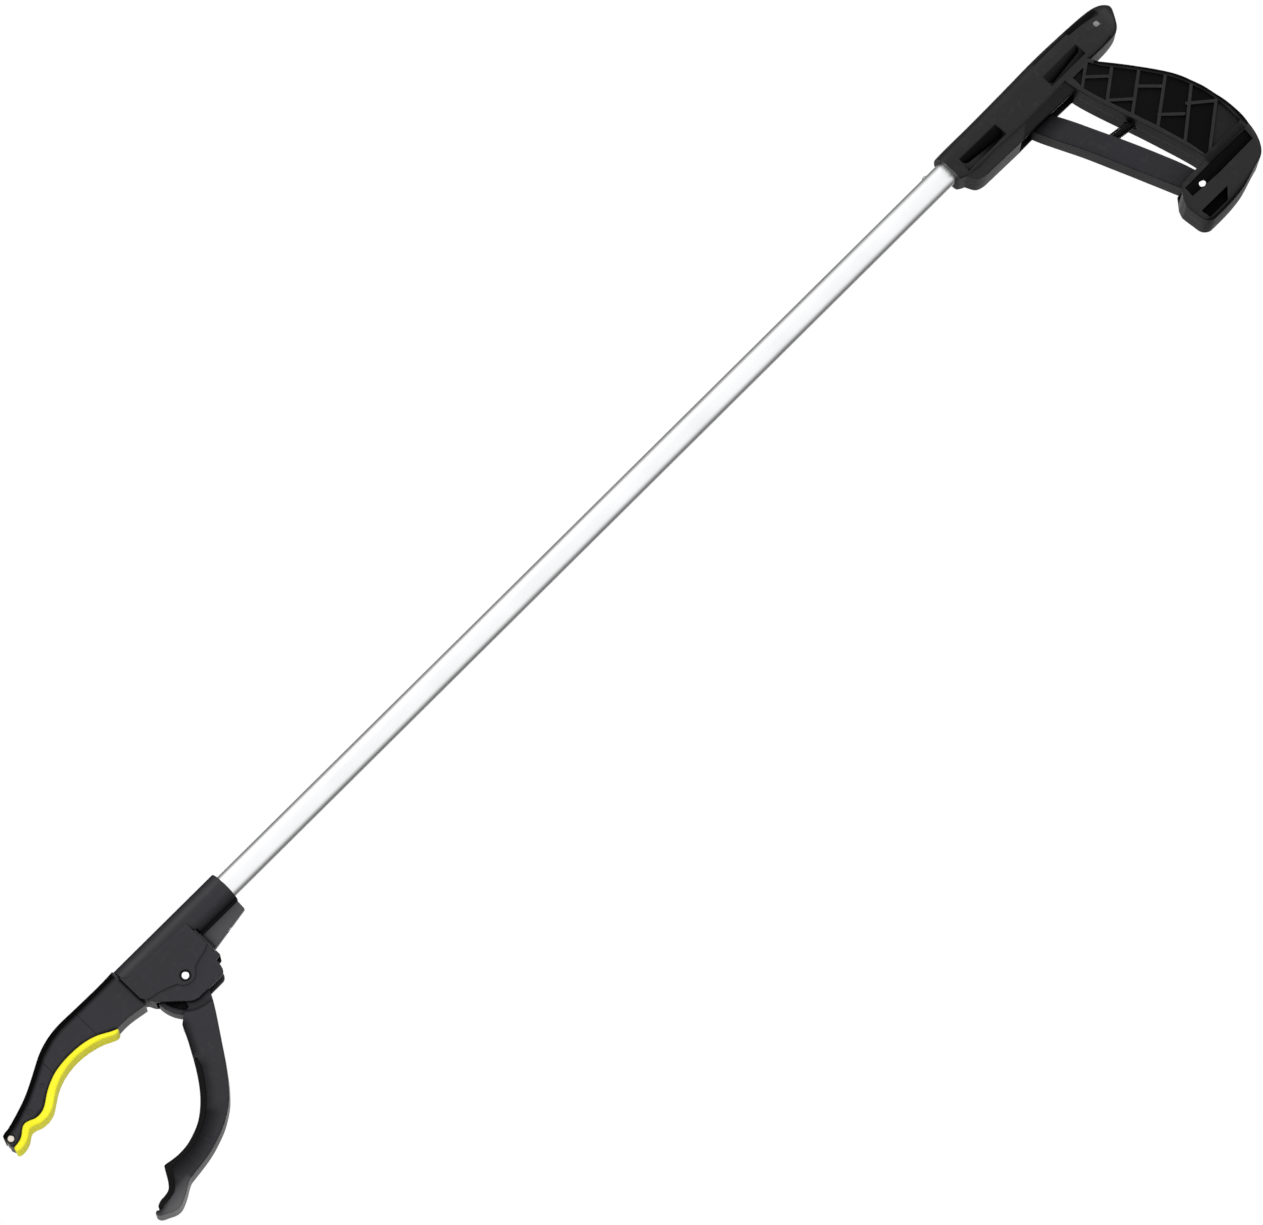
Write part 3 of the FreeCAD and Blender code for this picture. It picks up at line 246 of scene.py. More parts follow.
# Columns: x, z, turn, u_low, u_high, v_low, v_high, y_low, y_high, start, end, soft, faces, reach
HANDLE_PAINTED_SHADE = [Zone(*row) for row in [
    # painted shade in the brick cells
    (-95.5, -92.8, -35.8, -60.0, 80.0, 0.6, 95.0, 8.6, 9.75, 0.84, 0.70, 0.3, "flat"),
    # painted shade in the last cell, above the foot
    (-95.5, -92.8, -35.8, -60.0, 10.0, -30.0, 0.6, 8.6, 9.75, 0.65, 0.30, 0.5, "flat"),
    # painted shade in the band across the foot, and on the slope above it
    (0.0, 0.0, 0.0, -123.0, -75.0, -101.5, -94.3, 9.2, 9.85, 0.95, 0.80, 0.2, "flat"),
    (0.0, 0.0, 0.0, -121.5, -94.0, -94.6, -88.6, 8.6, 11.6, 0.72, 0.25, 0.4, "flat"),
    # painted shade in the front pocket, the rear pocket and the pocket under the foot
    (0.0, 0.0, 0.0, -33.5, -5.5, -9.4, -1.4, 7.6, 11.45, 0.98, 0.80, 0.12, "flat"),
    (0.0, 0.0, 0.0, -94.0, -68.5, -8.6, -1.4, 7.6, 11.45, 0.95, 0.50, 0.12, "flat"),
    (0.0, 0.0, 0.0, -92.5, -71.5, -115.2, -108.5, 5.5, 9.0, 0.94, 0.90, 0.12, "flat"),
    # painted shade on the step under the rear top edge
    (0.0, 0.0, 0.0, -115.5, -95.0, 2.6, 14.0, 7.0, 9.8, 0.80, 0.80, 0.5, "side"),
    # painted shade on the barrel's top, turned away from the light
    (0.0, 0.0, 0.0, -97.0, -1.0, 7.6, 14.0, 0.0, 20.0, 0.0, 0.85, 0.3, "side", 0.15),
]]
# painted shade where the grip rolls off along its rear edge
HANDLE_PAINTED_SHADE += edge_band(
    [(-124.8, -94.0), (-126.0, -81.8), (-124.6, -69.9), (-121.9, -58.2), (-117.5, -47.1),
     (-107.7, -32.0), (-94.3, -14.3)],
    v=(-2.9, 1.2), strength=(0.0, 0.88), reach=0.38)
# painted shade on its front wall, which lies in the shade of the trigger
HANDLE_PAINTED_SHADE += edge_band(
    [(-76.1, -16.5), (-81.6, -38.9), (-90.5, -69.8), (-95.3, -91.2)],
    v=(-1.5, 1.5), strength=(0.55, 0.55), y_high=10.3, faces="all")
# painted light at the hanging hole: a paler colour and a faint white emission
HANDLE_PAINTED_LIGHT = Zone(-109.7, -1.4, 0.0, -1.7, 1.7, -1.7, 1.7, 0.0, 10.1, 0.85, 0.85, 0.1, "all")

TRIGGER_SHADE = [
    # under the barrel
    Zone(0.0, 0.0, 0.0, -90.0, -30.0, -28.5, 10.0, 0.0, 20.0, 0.0, 0.95, 0.3, "all", 0.28),
    # towards the foot
    Zone(-74.0, -92.0, 0.0, -20.0, 20.0, -12.0, 13.0, 0.0, 20.0, 0.55, 0.0, 0.3, "all"),
]

HEAD_PAINTED_SHADE = [
    # painted shade on the barrel's underside above the keel
    Zone(0.0, 0.0, 0.0, 521.7, 547.5, -9.7, -3.2, 0.0, 20.0, 0.92, 0.05, 0.25, "side"),
    # painted shade on the barrel's top
    Zone(0.0, 0.0, 0.0, 521.5, 590.5, 7.1, 12.0, 0.0, 20.0, 0.0, 0.85, 0.3, "side", 0.2),
]
# painted light below the barrel's underside
HEAD_PAINTED_LIGHT = Zone(
    0.0, 0.0, 0.0, 521.7, 545.5, -19.6, -9.9, 0.0, 20.0, 0.085, 0.055, 0.25, "side")

# painted shade where the fixed jaw rolls off along its upper edge, and a little painted shade
# along the liner
FIXED_JAW_PAINTED_SHADE = edge_band(
    [(592.0, 8.0), (612.0, 8.1), (628.0, 8.3), (636.0, 7.3), (645.0, 4.4), (655.2, -1.0),
     (666.1, -6.2), (677.4, -9.9), (685.5, -11.3)],
    v=(-4.2, 0.8), strength=(0.0, 0.93), reach=0.42)
FIXED_JAW_PAINTED_SHADE += edge_band(
    [(609.5, -13.2), (617.6, -9.2), (625.9, -6.7), (635.4, -6.1), (645.0, -7.2),
     (654.5, -11.2), (661.8, -15.9), (668.0, -16.4), (673.5, -14.6), (680.4, -18.6),
     (685.2, -19.3)],
    v=(-0.3, 1.5), strength=(0.90, 0.0))

# painted shade darkens the moving jaw towards its pad, and painted light pales it under its tip
MOVING_JAW_PAINTED_SHADE = edge_band(
    [(585.4, -34.9), (592.2, -48.2)],
    v=(-5.0, 4.0), strength=(0.0, 0.75), reach=0.5, soft=2.0, overlap=2.0)
MOVING_JAW_PAINTED_SHADE += edge_band(
    [(596.0, -54.6), (603.0, -64.6), (609.1, -70.8)],
    v=(-8.5, 4.0), strength=(0.0, 0.62), reach=0.45, soft=3.0, overlap=3.0)
MOVING_JAW_PAINTED_SHADE += edge_band(
    [(609.1, -70.8), (619.7, -76.9), (629.0, -79.0), (640.2, -77.9)],
    v=(-12.5, 4.0), strength=(0.0, 0.72), reach=0.5, soft=3.0, overlap=3.0)
MOVING_JAW_PAINTED_SHADE += edge_band(
    [(640.2, -77.9), (645.8, -85.8)],
    v=(-7.0, 4.0), strength=(0.0, 0.72), reach=0.45, soft=2.0, overlap=1.5)
MOVING_JAW_PAINTED_SHADE += edge_band(
    [(646.5, -87.2), (659.0, -90.8)],
    v=(-4.5, 3.0), strength=(0.0, 0.70), reach=0.35, soft=1.0, overlap=0.8)
# painted light under the moving jaw's tip
TIP_PAINTED_LIGHT = Zone(636.0, -91.5, -4.0, 0.0, 26.0, -7.0, 2.6, 0.0, 20.0, 0.17, 0.02, 0.5, "all")


# ---------------------------------------------------------------- material kinds
def paint_light_and_shade(surface, geometry, colour, spec, painted_shade_zones, painted_cavity_shade, pale, painted_glow):
    """Paint shade into recesses and cavities and paint light into the pale zone; gives the colour
    and specular.
    """
    s = surface
    masks = ZoneMasks(s, geometry, painted_shade_zones + ([pale] if pale else []))
    shade = masks.mask(painted_shade_zones[0])
    for zone in painted_shade_zones[1:]:
        shade = s.math("MAXIMUM", shade, masks.mask(zone))

    # painted shade in cavities: where the occlusion node finds close surfaces, the colour is
    # darkened
    occlusion = s.add(
        "ShaderNodeAmbientOcclusion", {"Distance": 0.006}, samples=6, only_local=False)
    painted_hollow_shade = s.remap(occlusion.outputs["AO"], (0.95, 0.35), (0.0, painted_cavity_shade))
    if pale:
        # painted light: the pale zone turns the colour towards light grey and keeps the cavity
        # darkening out
        painted_light_mask = masks.mask(pale)
        colour = s.mix(painted_light_mask, colour, srgb(205, 205, 205))
        painted_hollow_shade = s.math("MULTIPLY", painted_hollow_shade, s.math("SUBTRACT", 1.0, painted_light_mask))
        if painted_glow:
            # painted light: the pale zone emits a faint white, standing in for daylight that
            # comes through from the far side
            s.set({
                "Emission Color": WHITE,
                "Emission Strength": s.math("MULTIPLY", painted_light_mask, painted_glow),
            })
    # painted shade: the zones and cavities turn the colour towards black and dull the specular
    shade = s.math("MAXIMUM", shade, painted_hollow_shade)
    colour = s.mix(shade, colour, (0.0006, 0.0006, 0.0007, 1))
    return colour, s.math("MULTIPLY", s.math("SUBTRACT", 1.0, shade), spec)


def moulded(name, base, rough, grain=1.0, edge=0.35, edge_light=1.9, spec=0.5, radius=0.0004,
            painted_shade_zones=None, painted_cavity_shade=0.0, pale=None, painted_glow=0.0):
    """Injection-moulded plastic: fine grain, slow tone drift, edges lighter and shinier.

    grain scales the bump, edge is the share of wear on edges, edge_light its brightness,
    radius rounds the shaded edges, cavity is the share of painted shade in hollows. The zones
    paint shade into recesses and painted light into the pale zone.
    """
    s = Surface(name)
    drift = s.noise(scale=26.0, detail=4.0, roughness=0.55)
    fine = s.noise(scale=2600.0, detail=2.0, roughness=0.6)
    medium = s.noise(scale=310.0, detail=3.0, roughness=0.6)

    # edges show as the difference between the rounded and the plain normal
    geometry = s.add("ShaderNodeNewGeometry")
    agreement = s.vector(
        "DOT_PRODUCT", s.bevel(radius=0.0006, samples=6), geometry.outputs["Normal"],
        result="Value")
    on_edge = s.remap(agreement, (0.995, 0.80), (0.0, 1.0))
    broken = s.remap(medium, (0.35, 0.65), (0.35, 1.0))
    wear = s.math("MULTIPLY", on_edge, broken)

    colour = s.ramp(drift, (0.32, scaled(base, 0.84)), (0.68, scaled(base, 1.14)))
    worn_colour = scaled(base, edge_light, lift=0.004)
    colour = s.mix(s.math("MULTIPLY", wear, edge), colour, worn_colour)
    # a trace of dust, broken up by the medium noise
    dust = s.remap(medium, (0.55, 0.8), (0.0, 0.05))
    colour = s.mix(dust, colour, srgb(120, 118, 114))
    # painted shade and painted light from the zones
    if painted_shade_zones:
        colour, spec = paint_light_and_shade(s, geometry, colour, spec, painted_shade_zones, painted_cavity_shade, pale, painted_glow)

    # worn edges are smoother
    matt = s.remap(drift, (0.3, 0.7), (rough - 0.05, rough + 0.06))
    normal = s.bevel(radius=radius, samples=6)
    normal = s.bump(medium, normal, strength=0.10 * grain, distance=0.00025)
    normal = s.bump(fine, normal, strength=0.22 * grain, distance=0.00006)
    s.set({
        "Base Color": colour,
        "Roughness": s.math("MULTIPLY_ADD", wear, -0.07, matt),
        "Specular IOR Level": spec,
        "IOR": 1.5,
        "Normal": normal,
    })
    return s.material


def rubber(name, base, dark, rough, spec):
    """Soft rubber: silky, with a faint mottling between the base and the dark colour."""
    s = Surface(name)
    mottle = s.noise(scale=60.0, detail=4.0, roughness=0.6)
    fine = s.noise(scale=1500.0, detail=3.0, roughness=0.6)
    normal = s.bevel(radius=0.0003, samples=4)
    s.set({
        "Base Color": s.ramp(mottle, (0.3, dark), (0.62, base)),
        "Roughness": s.remap(mottle, (0.3, 0.7), (rough + 0.06, rough - 0.05)),
        "Specular IOR Level": spec,
        "Normal": s.bump(fine, normal, strength=0.18, distance=0.00008),
    })
    return s.material


def dark_rim(surface, colour, x, z, inner, outer):
    """Darken the colour between two radii about the Y axis through x, z (millimetres)."""
    s = surface
    offset = s.vector("SUBTRACT", s.position, (x * MM, 0.0, z * MM))
    in_plane = s.vector("MULTIPLY", offset, (1.0, 0.0, 1.0))
    distance = s.vector("LENGTH", in_plane, result="Value")
    rim = s.remap(distance, (inner * MM, outer * MM), (0.0, 0.96))
    return s.mix(rim, colour, (0.01, 0.01, 0.01, 1))


def metal(name, base, rough, streak_scale, streak=(1.0, 1.0, 1.0), depth=0.12, drift=0.05,
          spots=0.0, radius=0.00015, ring=None):
    """Bare or plated metal: drawing or turning marks, slight drift, softened edges.

    streak stretches the marks per axis, depth is their bump strength, drift the spread of
    the roughness, spots the share of tarnish, ring the arguments of dark_rim.
    """
    s = Surface(name)
    stretched = s.add("ShaderNodeMapping", {"Scale": streak, "Vector": s.position})
    lines = s.noise(
        scale=streak_scale, detail=3.0, roughness=0.65, vector=stretched.outputs["Vector"])
    slow = s.noise(scale=35.0, detail=3.0, roughness=0.5)
    tone = s.remap(slow, (0.3, 0.7), (0.0, 1.0))
    colour = s.mix(tone, scaled(base, 0.93), base)
    if spots:
        speckle = s.noise(scale=700.0, detail=4.0, roughness=0.7)
        tarnish = s.remap(speckle, (0.62, 0.74), (0.0, spots))
        colour = s.mix(tarnish, colour, srgb(120, 112, 100))
    if ring:
        colour = dark_rim(s, colour, **ring)
    normal = s.bevel(radius=radius, samples=4)
    s.set({
        "Base Color": colour,
        "Metallic": 1.0,
        "Roughness": s.remap(lines, (0.3, 0.7), (rough - drift, rough + drift)),
        "Normal": s.bump(lines, normal, strength=depth, distance=0.00004),
    })
    return s.material


# ---------------------------------------------------------------- materials
handle_black = moulded(
    "handle_black", srgb(15, 15, 15), rough=0.40, spec=0.285, radius=0.0010,
    painted_shade_zones=HANDLE_PAINTED_SHADE, painted_cavity_shade=0.85, pale=HANDLE_PAINTED_LIGHT, painted_glow=0.13)
trigger_black = moulded(
    "trigger_black", srgb(20, 19, 26), rough=0.38, grain=0.7, spec=0.29, radius=0.0012,
    painted_shade_zones=TRIGGER_SHADE, painted_cavity_shade=0.75)

# the head and both jaws are of one plastic
HEAD_PLASTIC = dict(base=srgb(28, 27, 34), rough=0.38, grain=0.7, spec=0.37, painted_cavity_shade=0.8)
head_black = moulded(
    "head_black", **HEAD_PLASTIC, radius=0.0012, painted_shade_zones=HEAD_PAINTED_SHADE, pale=HEAD_PAINTED_LIGHT)
jaw_black = moulded(
    "jaw_black", **HEAD_PLASTIC, edge=0.30, radius=0.0028, painted_shade_zones=MOVING_JAW_PAINTED_SHADE,
    pale=TIP_PAINTED_LIGHT)
fixed_black = moulded(
    "fixed_black", **HEAD_PLASTIC, edge=0.30, radius=0.0028, painted_shade_zones=FIXED_JAW_PAINTED_SHADE)

rod_end_black = moulded("rod_end_black", srgb(34, 34, 34), rough=0.5)
guide_white = moulded(
    "guide_white", srgb(225, 224, 218), rough=0.5, edge=0.1, edge_light=1.05)

tube_alu = metal(
    "tube_aluminium", (0.92, 0.925, 0.935, 1), rough=0.33, streak=(0.012, 1.0, 1.0),
    streak_scale=2600.0, depth=0.10)
rod_steel = metal(
    "rod_steel", (0.58, 0.58, 0.6, 1), rough=0.3, streak=(0.02, 1, 1), streak_scale=3000.0)
pin_steel = metal(
    "pin_steel", (0.93, 0.93, 0.94, 1), rough=0.14, streak=(1, 0.05, 1),
    streak_scale=1800.0, depth=0.05, drift=0.04)
screw_steel = metal(
    "screw_steel", (0.62, 0.62, 0.64, 1), rough=0.3, streak_scale=1500.0, drift=0.07)
spring_steel = metal(
    "spring_steel", (0.50, 0.50, 0.52, 1), rough=0.32, streak_scale=1200.0)
spring_dark = metal(
    "spring_dark", (0.022, 0.022, 0.026, 1), rough=0.42, streak_scale=2500.0)
magnet = metal(
    "magnet_nickel", (0.80, 0.73, 0.64, 1), rough=0.3, streak_scale=1400.0, spots=0.5,
    radius=0.0007, ring=dict(x=683.1, z=-15.1, inner=1.35, outer=1.75))

yellow = rubber(
    "liner_yellow", base=srgb(250, 245, 48), dark=srgb(240, 233, 34), rough=0.55, spec=0.22)
pad_black = rubber(
    "pad_black", base=srgb(12, 12, 13), dark=srgb(8, 8, 9), rough=0.6, spec=0.10)

NODE_MATERIALS = {
    "handle_shell_left": handle_black,
    "handle_shell_right": handle_black,
    "handle_screws": screw_steel,
    "main_tube": tube_alu,
    "tube_anchor_pin": pin_steel,
    "rear_rod_guide": guide_white,
    "guide_rivet": tube_alu,
    "front_rod_guide": guide_white,
    "head_body": head_black,
    "head_anchor_screw": screw_steel,
    "fixed_jaw": fixed_black,
    "jaw_joint_screw": screw_steel,
    "fixed_jaw_liner": yellow,
    "tip_magnet": magnet,
    "jaw_pivot_pin": pin_steel,
    "jaw_pin_retainer": spring_steel,
    "trigger_pivot_pin": pin_steel,
    "trigger_pin_retainer": spring_steel,
    "trigger_return_spring": spring_dark,
    "trigger": trigger_black,
    "pull_rod": rod_steel,
    "rear_rod_end": rod_end_black,
    "rear_link_pin": pin_steel,
    "front_rod_end": rod_end_black,
    "rod_lock_nut": screw_steel,
    "front_link_pin": pin_steel,
    "moving_jaw": jaw_black,
    "moving_jaw_pad": pad_black,
}


# ---------------------------------------------------------------- mesh helpers
def smooth(mesh, sharp_degrees):
    """Smooth shading, with edges over the angle kept sharp."""
    mesh.shade_smooth()
    mesh.set_sharp_from_angle(angle=math.radians(sharp_degrees))


def join_rings(bm, rings):
    """Quads between each ring of vertices and the next."""
    count = len(rings[0])
    for ring, following in zip(rings, rings[1:]):
        for k in range(count):
            j = (k + 1) % count
            bm.faces.new((ring[k], ring[j], following[j], following[k]))


def new_object(bm, name):
    mesh = bpy.data.meshes.new(name)
    bm.to_mesh(mesh)
    bm.free()
    obj = bpy.data.objects.new(name, mesh)
    scene.collection.objects.link(obj)
    return obj


def solid_object(bm, name, material, sharp_degrees):
    bmesh.ops.recalc_face_normals(bm, faces=bm.faces)
    obj = new_object(bm, name)
    smooth(obj.data, sharp_degrees)
    obj.data.materials.append(material)
    return obj


def stand_in(obj, rides, replaces):
    """Tell the frame what a built piece moves with and which CAD piece it replaces."""
    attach(obj, rides)
    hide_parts(replaces)


for node_name, node in NODES.items():
    node.data.materials.clear()
    node.data.materials.append(NODE_MATERIALS[node_name])
    for polygon in node.data.polygons:
        polygon.material_index = 0
    smooth(node.data, sharp_degrees=32.0)


# ---------------------------------------------------------------- liner and pad
# Outlines are (x, z) in millimetres, running towards the jaw tips.
LINER_SEAT = [
    (608.8, -13.63), (611.5, -12.63), (614.5, -10.93), (617.6, -9.23), (621.2, -7.83),
    (625.9, -6.73), (630.7, -6.23), (635.4, -6.13), (640.2, -6.43), (645.0, -7.23),
    (649.7, -8.83), (654.5, -11.23), (658.6, -14.03), (661.8, -15.93), (665.0, -16.73),
    (668.0, -16.43), (670.7, -15.23), (673.5, -14.63), (676.0, -15.63), (678.0, -17.33),
    (680.4, -18.63), (683.0, -19.23), (685.2, -19.33),
]
LINER_FACE = [
    (608.6, -14.6), (610.8, -15.0), (613.2, -14.2), (618.2, -11.8), (624.1, -10.1),
    (630.1, -9.2), (636.0, -9.2), (641.5, -10.0), (646.6, -11.6), (651.0, -13.8),
    (655.3, -16.7), (659.3, -19.2), (663.5, -20.2), (667.6, -19.9), (670.6, -18.8),
    (673.0, -18.4), (675.0, -19.3), (677.4, -21.0), (680.6, -22.1), (683.6, -22.3),
    (685.9, -21.7),
]
PAD_FACE = [
    (593.6, -50.7), (596.7, -55.9), (600.3, -61.2), (604.5, -66.4), (609.1, -70.8),
    (614.1, -74.4), (619.7, -76.9), (625.7, -78.6), (631.7, -79.0), (636.4, -78.5),
    (640.2, -77.9), (641.4, -78.9), (643.0, -81.6), (645.2, -85.2), (647.6, -87.7),
    (650.8, -88.6), (654.0, -88.8), (657.2, -90.0),
]
# the pad's seat: its heel, a run parallel to the face, then its toe
PAD_HEEL = (592.0, -51.8)
PAD_THICKNESS = 3.0
PAD_PARALLEL_POINTS = 11
PAD_TOE = [
    (638.4, -81.6), (640.4, -83.7), (642.8, -87.2), (646.0, -90.3), (650.2, -91.5),
    (653.4, -91.7), (656.3, -92.4),
]
PAD_SHIFT = (0.025, 0.03)

# Strip sizes, millimetres
STRIP_STATIONS = 220
STRIP_HALF_WIDTH = 8.0
SEAT_ROUND = 0.25
NOSE_LENGTH = 1.6
NOSE_PULL = 0.9
RIB_PITCH = 2.3
RIB_HALF_WIDTH = 6.4
RIB_SIDE_FADE = 0.9
RIB_END_PLAIN = 2.0
RIB_END_FADE = 2.0
# fine lip and hollow line along the side: share of the wall's height, inset
SIDE_WALL = [(0.35, 0.0), (0.55, 0.10), (0.8, 0.02)]
# segments round the section
SEAT_SEGMENTS = 9
SEAT_ROUND_SEGMENTS = 4
FACE_ROUND_SEGMENTS = 6
FACE_SEGMENTS = 14


def clamp(value):
    return max(0.0, min(1.0, value))


def even_curve(outline, count):
    """count points along a Catmull-Rom curve, evenly spaced, and the curve's length."""
    points = [Vector(point) for point in outline]
    dense = []
    for i in range(len(points) - 1):
        p0, p1 = points[max(i - 1, 0)], points[i]
        p2, p3 = points[i + 1], points[min(i + 2, len(points) - 1)]
        for k in range(16):
            t = k / 16
            dense.append(0.5 * ((2 * p1) + (p2 - p0) * t
                                + (2 * p0 - 5 * p1 + 4 * p2 - p3) * t * t
                                + (3 * p1 - p0 - 3 * p2 + p3) * t ** 3))
    dense.append(points[-1])
    lengths = [0.0]
    for before, after in zip(dense, dense[1:]):
        lengths.append(lengths[-1] + (after - before).length)
    total = lengths[-1]

    curve, j = [], 0
    for k in range(count):
        distance = total * k / (count - 1)
        while j < len(lengths) - 2 and lengths[j + 1] < distance:
            j += 1
        span = lengths[j + 1] - lengths[j]
        share = (distance - lengths[j]) / span if span > 0 else 0
        curve.append(dense[j].lerp(dense[j + 1], share))
    return curve, total


def strip_section(half, top, corner, groove):
    """Closed section as (y, height over the seat), starting at the seat's -Y end."""
    seat_half = half - SEAT_ROUND
    seat = [(-half + SEAT_ROUND + 2 * seat_half * k / SEAT_SEGMENTS, 0.0)
            for k in range(SEAT_SEGMENTS)]

    side = []
    for k in range(SEAT_ROUND_SEGMENTS + 1):
        angle = math.pi / 2 * k / SEAT_ROUND_SEGMENTS
        side.append((seat_half + SEAT_ROUND * math.sin(angle),
                     SEAT_ROUND * (1 - math.cos(angle))))
    wall_height = top - corner - SEAT_ROUND
    for share, inset in SIDE_WALL:
        side.append((half - inset, SEAT_ROUND + wall_height * share))
    for k in range(FACE_ROUND_SEGMENTS + 1):
        angle = math.pi / 2 * k / FACE_ROUND_SEGMENTS
        side.append((half - corner + corner * math.cos(angle),
                     top - corner + corner * math.sin(angle)))

    face = []
    for k in range(1, FACE_SEGMENTS):
        y = (half - corner) * (1 - 2 * k / FACE_SEGMENTS)
        fade = clamp((RIB_HALF_WIDTH - abs(y)) / RIB_SIDE_FADE)
        face.append((y, top - groove * fade))

    # the far side mirrors the near one; its last point is the section's first
    mirrored = [(-y, height) for y, height in reversed(side)][:-1]
    return seat + side + face + mirrored


def strip(name, face, seat, corner, rib_depth, material):
    """A moulded strip: a rounded face with shallow cross ribs, and a flat back on its seat."""
    face_points, length = even_curve(face, STRIP_STATIONS)
    seat_points, _ = even_curve(seat, STRIP_STATIONS)
    bm = bmesh.new()
    rings = []
    for i, (face_point, seat_point) in enumerate(zip(face_points, seat_points)):
        thickness = (face_point - seat_point).length
        outward = (face_point - seat_point) / thickness
        distance = length * i / (STRIP_STATIONS - 1)
        # the ends are drawn in a little, so they finish in a soft nose
        from_end = min(distance, length - distance)
        pull = 0.0
        if from_end <= NOSE_LENGTH:
            lean = (NOSE_LENGTH - from_end) / NOSE_LENGTH
            pull = (1 - math.sqrt(max(0.0, 1 - lean ** 2))) * NOSE_PULL
        wave = 0.5 - 0.5 * math.cos(2 * math.pi * distance / RIB_PITCH)
        end_fade = clamp((from_end - RIB_END_PLAIN) / RIB_END_FADE)
        section = strip_section(
            half=STRIP_HALF_WIDTH - pull,
            top=thickness - pull * 0.5,
            corner=min(corner, 0.46 * thickness),
            groove=rib_depth * end_fade * wave ** 2)
        ring = []
        for y, height in section:
            point = seat_point + outward * height
            ring.append(bm.verts.new((point.x * MM, y * MM, point.y * MM)))
        rings.append(ring)
    join_rings(bm, rings)
    for ring in (rings[0], rings[-1]):
        count = len(ring)
        centre = bm.verts.new(sum((vert.co for vert in ring), Vector((0, 0, 0))) / count)
        for k in range(count):
            bm.faces.new((ring[k], ring[(k + 1) % count], centre))
    return solid_object(bm, name, material, sharp_degrees=50)


def offset_outline(points, distance):
    """The outline moved to the right of the way it runs."""
    moved = []
    for i, (x, z) in enumerate(points):
        before, after = points[max(i - 1, 0)], points[min(i + 1, len(points) - 1)]
        dx, dz = after[0] - before[0], after[1] - before[1]
        span = math.hypot(dx, dz)
        moved.append((x + dz / span * distance, z - dx / span * distance))
    return moved


def shifted(points, shift):
    return [(x + shift[0], z + shift[1]) for x, z in points]


liner = strip(
    "soft_liner", LINER_FACE, LINER_SEAT, corner=1.15, rib_depth=0.0, material=yellow)
stand_in(liner, rides="frame", replaces="fixed_jaw_liner")

pad_parallel = offset_outline(PAD_FACE[:PAD_PARALLEL_POINTS], PAD_THICKNESS)[1:-1]
pad_seat = [PAD_HEEL] + pad_parallel + PAD_TOE
pad = strip(
    "soft_pad", shifted(PAD_FACE, PAD_SHIFT), shifted(pad_seat, PAD_SHIFT),
    corner=1.0, rib_depth=0.16, material=pad_black)
stand_in(pad, rides="moving_jaw", replaces="moving_jaw_pad")


# ---------------------------------------------------------------- return spring
# Drawn wire with closed end turns; millimetres.
SPRING_AXIS = Vector((-0.990, 0.0, -0.139)).normalized()
SPRING_START = Vector((-77.4, 0.0, -48.4)) - SPRING_AXIS * 12.6
SPRING_LENGTH = 25.65
COIL_RADIUS = 2.15
WIRE_RADIUS = 0.45
TURNS = 22
CLOSED_TURNS = 1.15
STEPS_PER_TURN = 24
WIRE_SIDES = 10
SPRING_SIDE = Vector((0, 1, 0))
SPRING_THIRD = SPRING_AXIS.cross(SPRING_SIDE).normalized()


def spring_radial(share):
    """Direction from the spring's axis to the wire, at a share of the wire's run."""
    angle = 2 * math.pi * TURNS * share
    return SPRING_SIDE * math.cos(angle) + SPRING_THIRD * math.sin(angle)


def spring_point(share):
    """Centre of the wire; the first and the last turn lie close together."""
    closed_share = CLOSED_TURNS / TURNS
    low = WIRE_RADIUS * 1.02
    high = SPRING_LENGTH - WIRE_RADIUS * 1.02
    closed_rise = 2 * WIRE_RADIUS * 1.08 * CLOSED_TURNS
    if share < closed_share:
        along = low + closed_rise * (share / closed_share)
    elif share > 1 - closed_share:
        along = high - closed_rise * ((1 - share) / closed_share)
    else:
        open_share = (share - closed_share) / (1 - 2 * closed_share)
        along = low + closed_rise + (high - low - 2 * closed_rise) * open_share
    return SPRING_START + SPRING_AXIS * along + spring_radial(share) * COIL_RADIUS


def return_spring():
    bm = bmesh.new()
    steps = TURNS * STEPS_PER_TURN
    rings = []
    for i in range(steps + 1):
        share = i / steps
        after = spring_point(min(1.0, share + 0.5 / steps))
        before = spring_point(max(0.0, share - 0.5 / steps))
        tangent = (after - before).normalized()
        radial = spring_radial(share)
        normal = (radial - tangent * radial.dot(tangent)).normalized()
        binormal = tangent.cross(normal)
        centre = spring_point(share)
        ring = []
        for k in range(WIRE_SIDES):
            angle = 2 * math.pi * k / WIRE_SIDES
            spoke = normal * math.cos(angle) + binormal * math.sin(angle)
            ring.append(bm.verts.new((centre + spoke * WIRE_RADIUS) * MM))
        rings.append(ring)
    join_rings(bm, rings)
    for ring in (rings[0], rings[-1]):
        bm.faces.new(ring)
    return solid_object(bm, "return_spring", spring_dark, sharp_degrees=60)


spring = return_spring()
stand_in(spring, rides="frame", replaces="trigger_return_spring")
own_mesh(spring)


# ---------------------------------------------------------------- floor
cad_low, cad_high = CAD_BOX
centre_x = (cad_low.x + cad_high.x) / 2
centre_z = (cad_low.z + cad_high.z) / 2
FLOOR_SIZE = 9.0
FLOOR_GAP = 0.0005


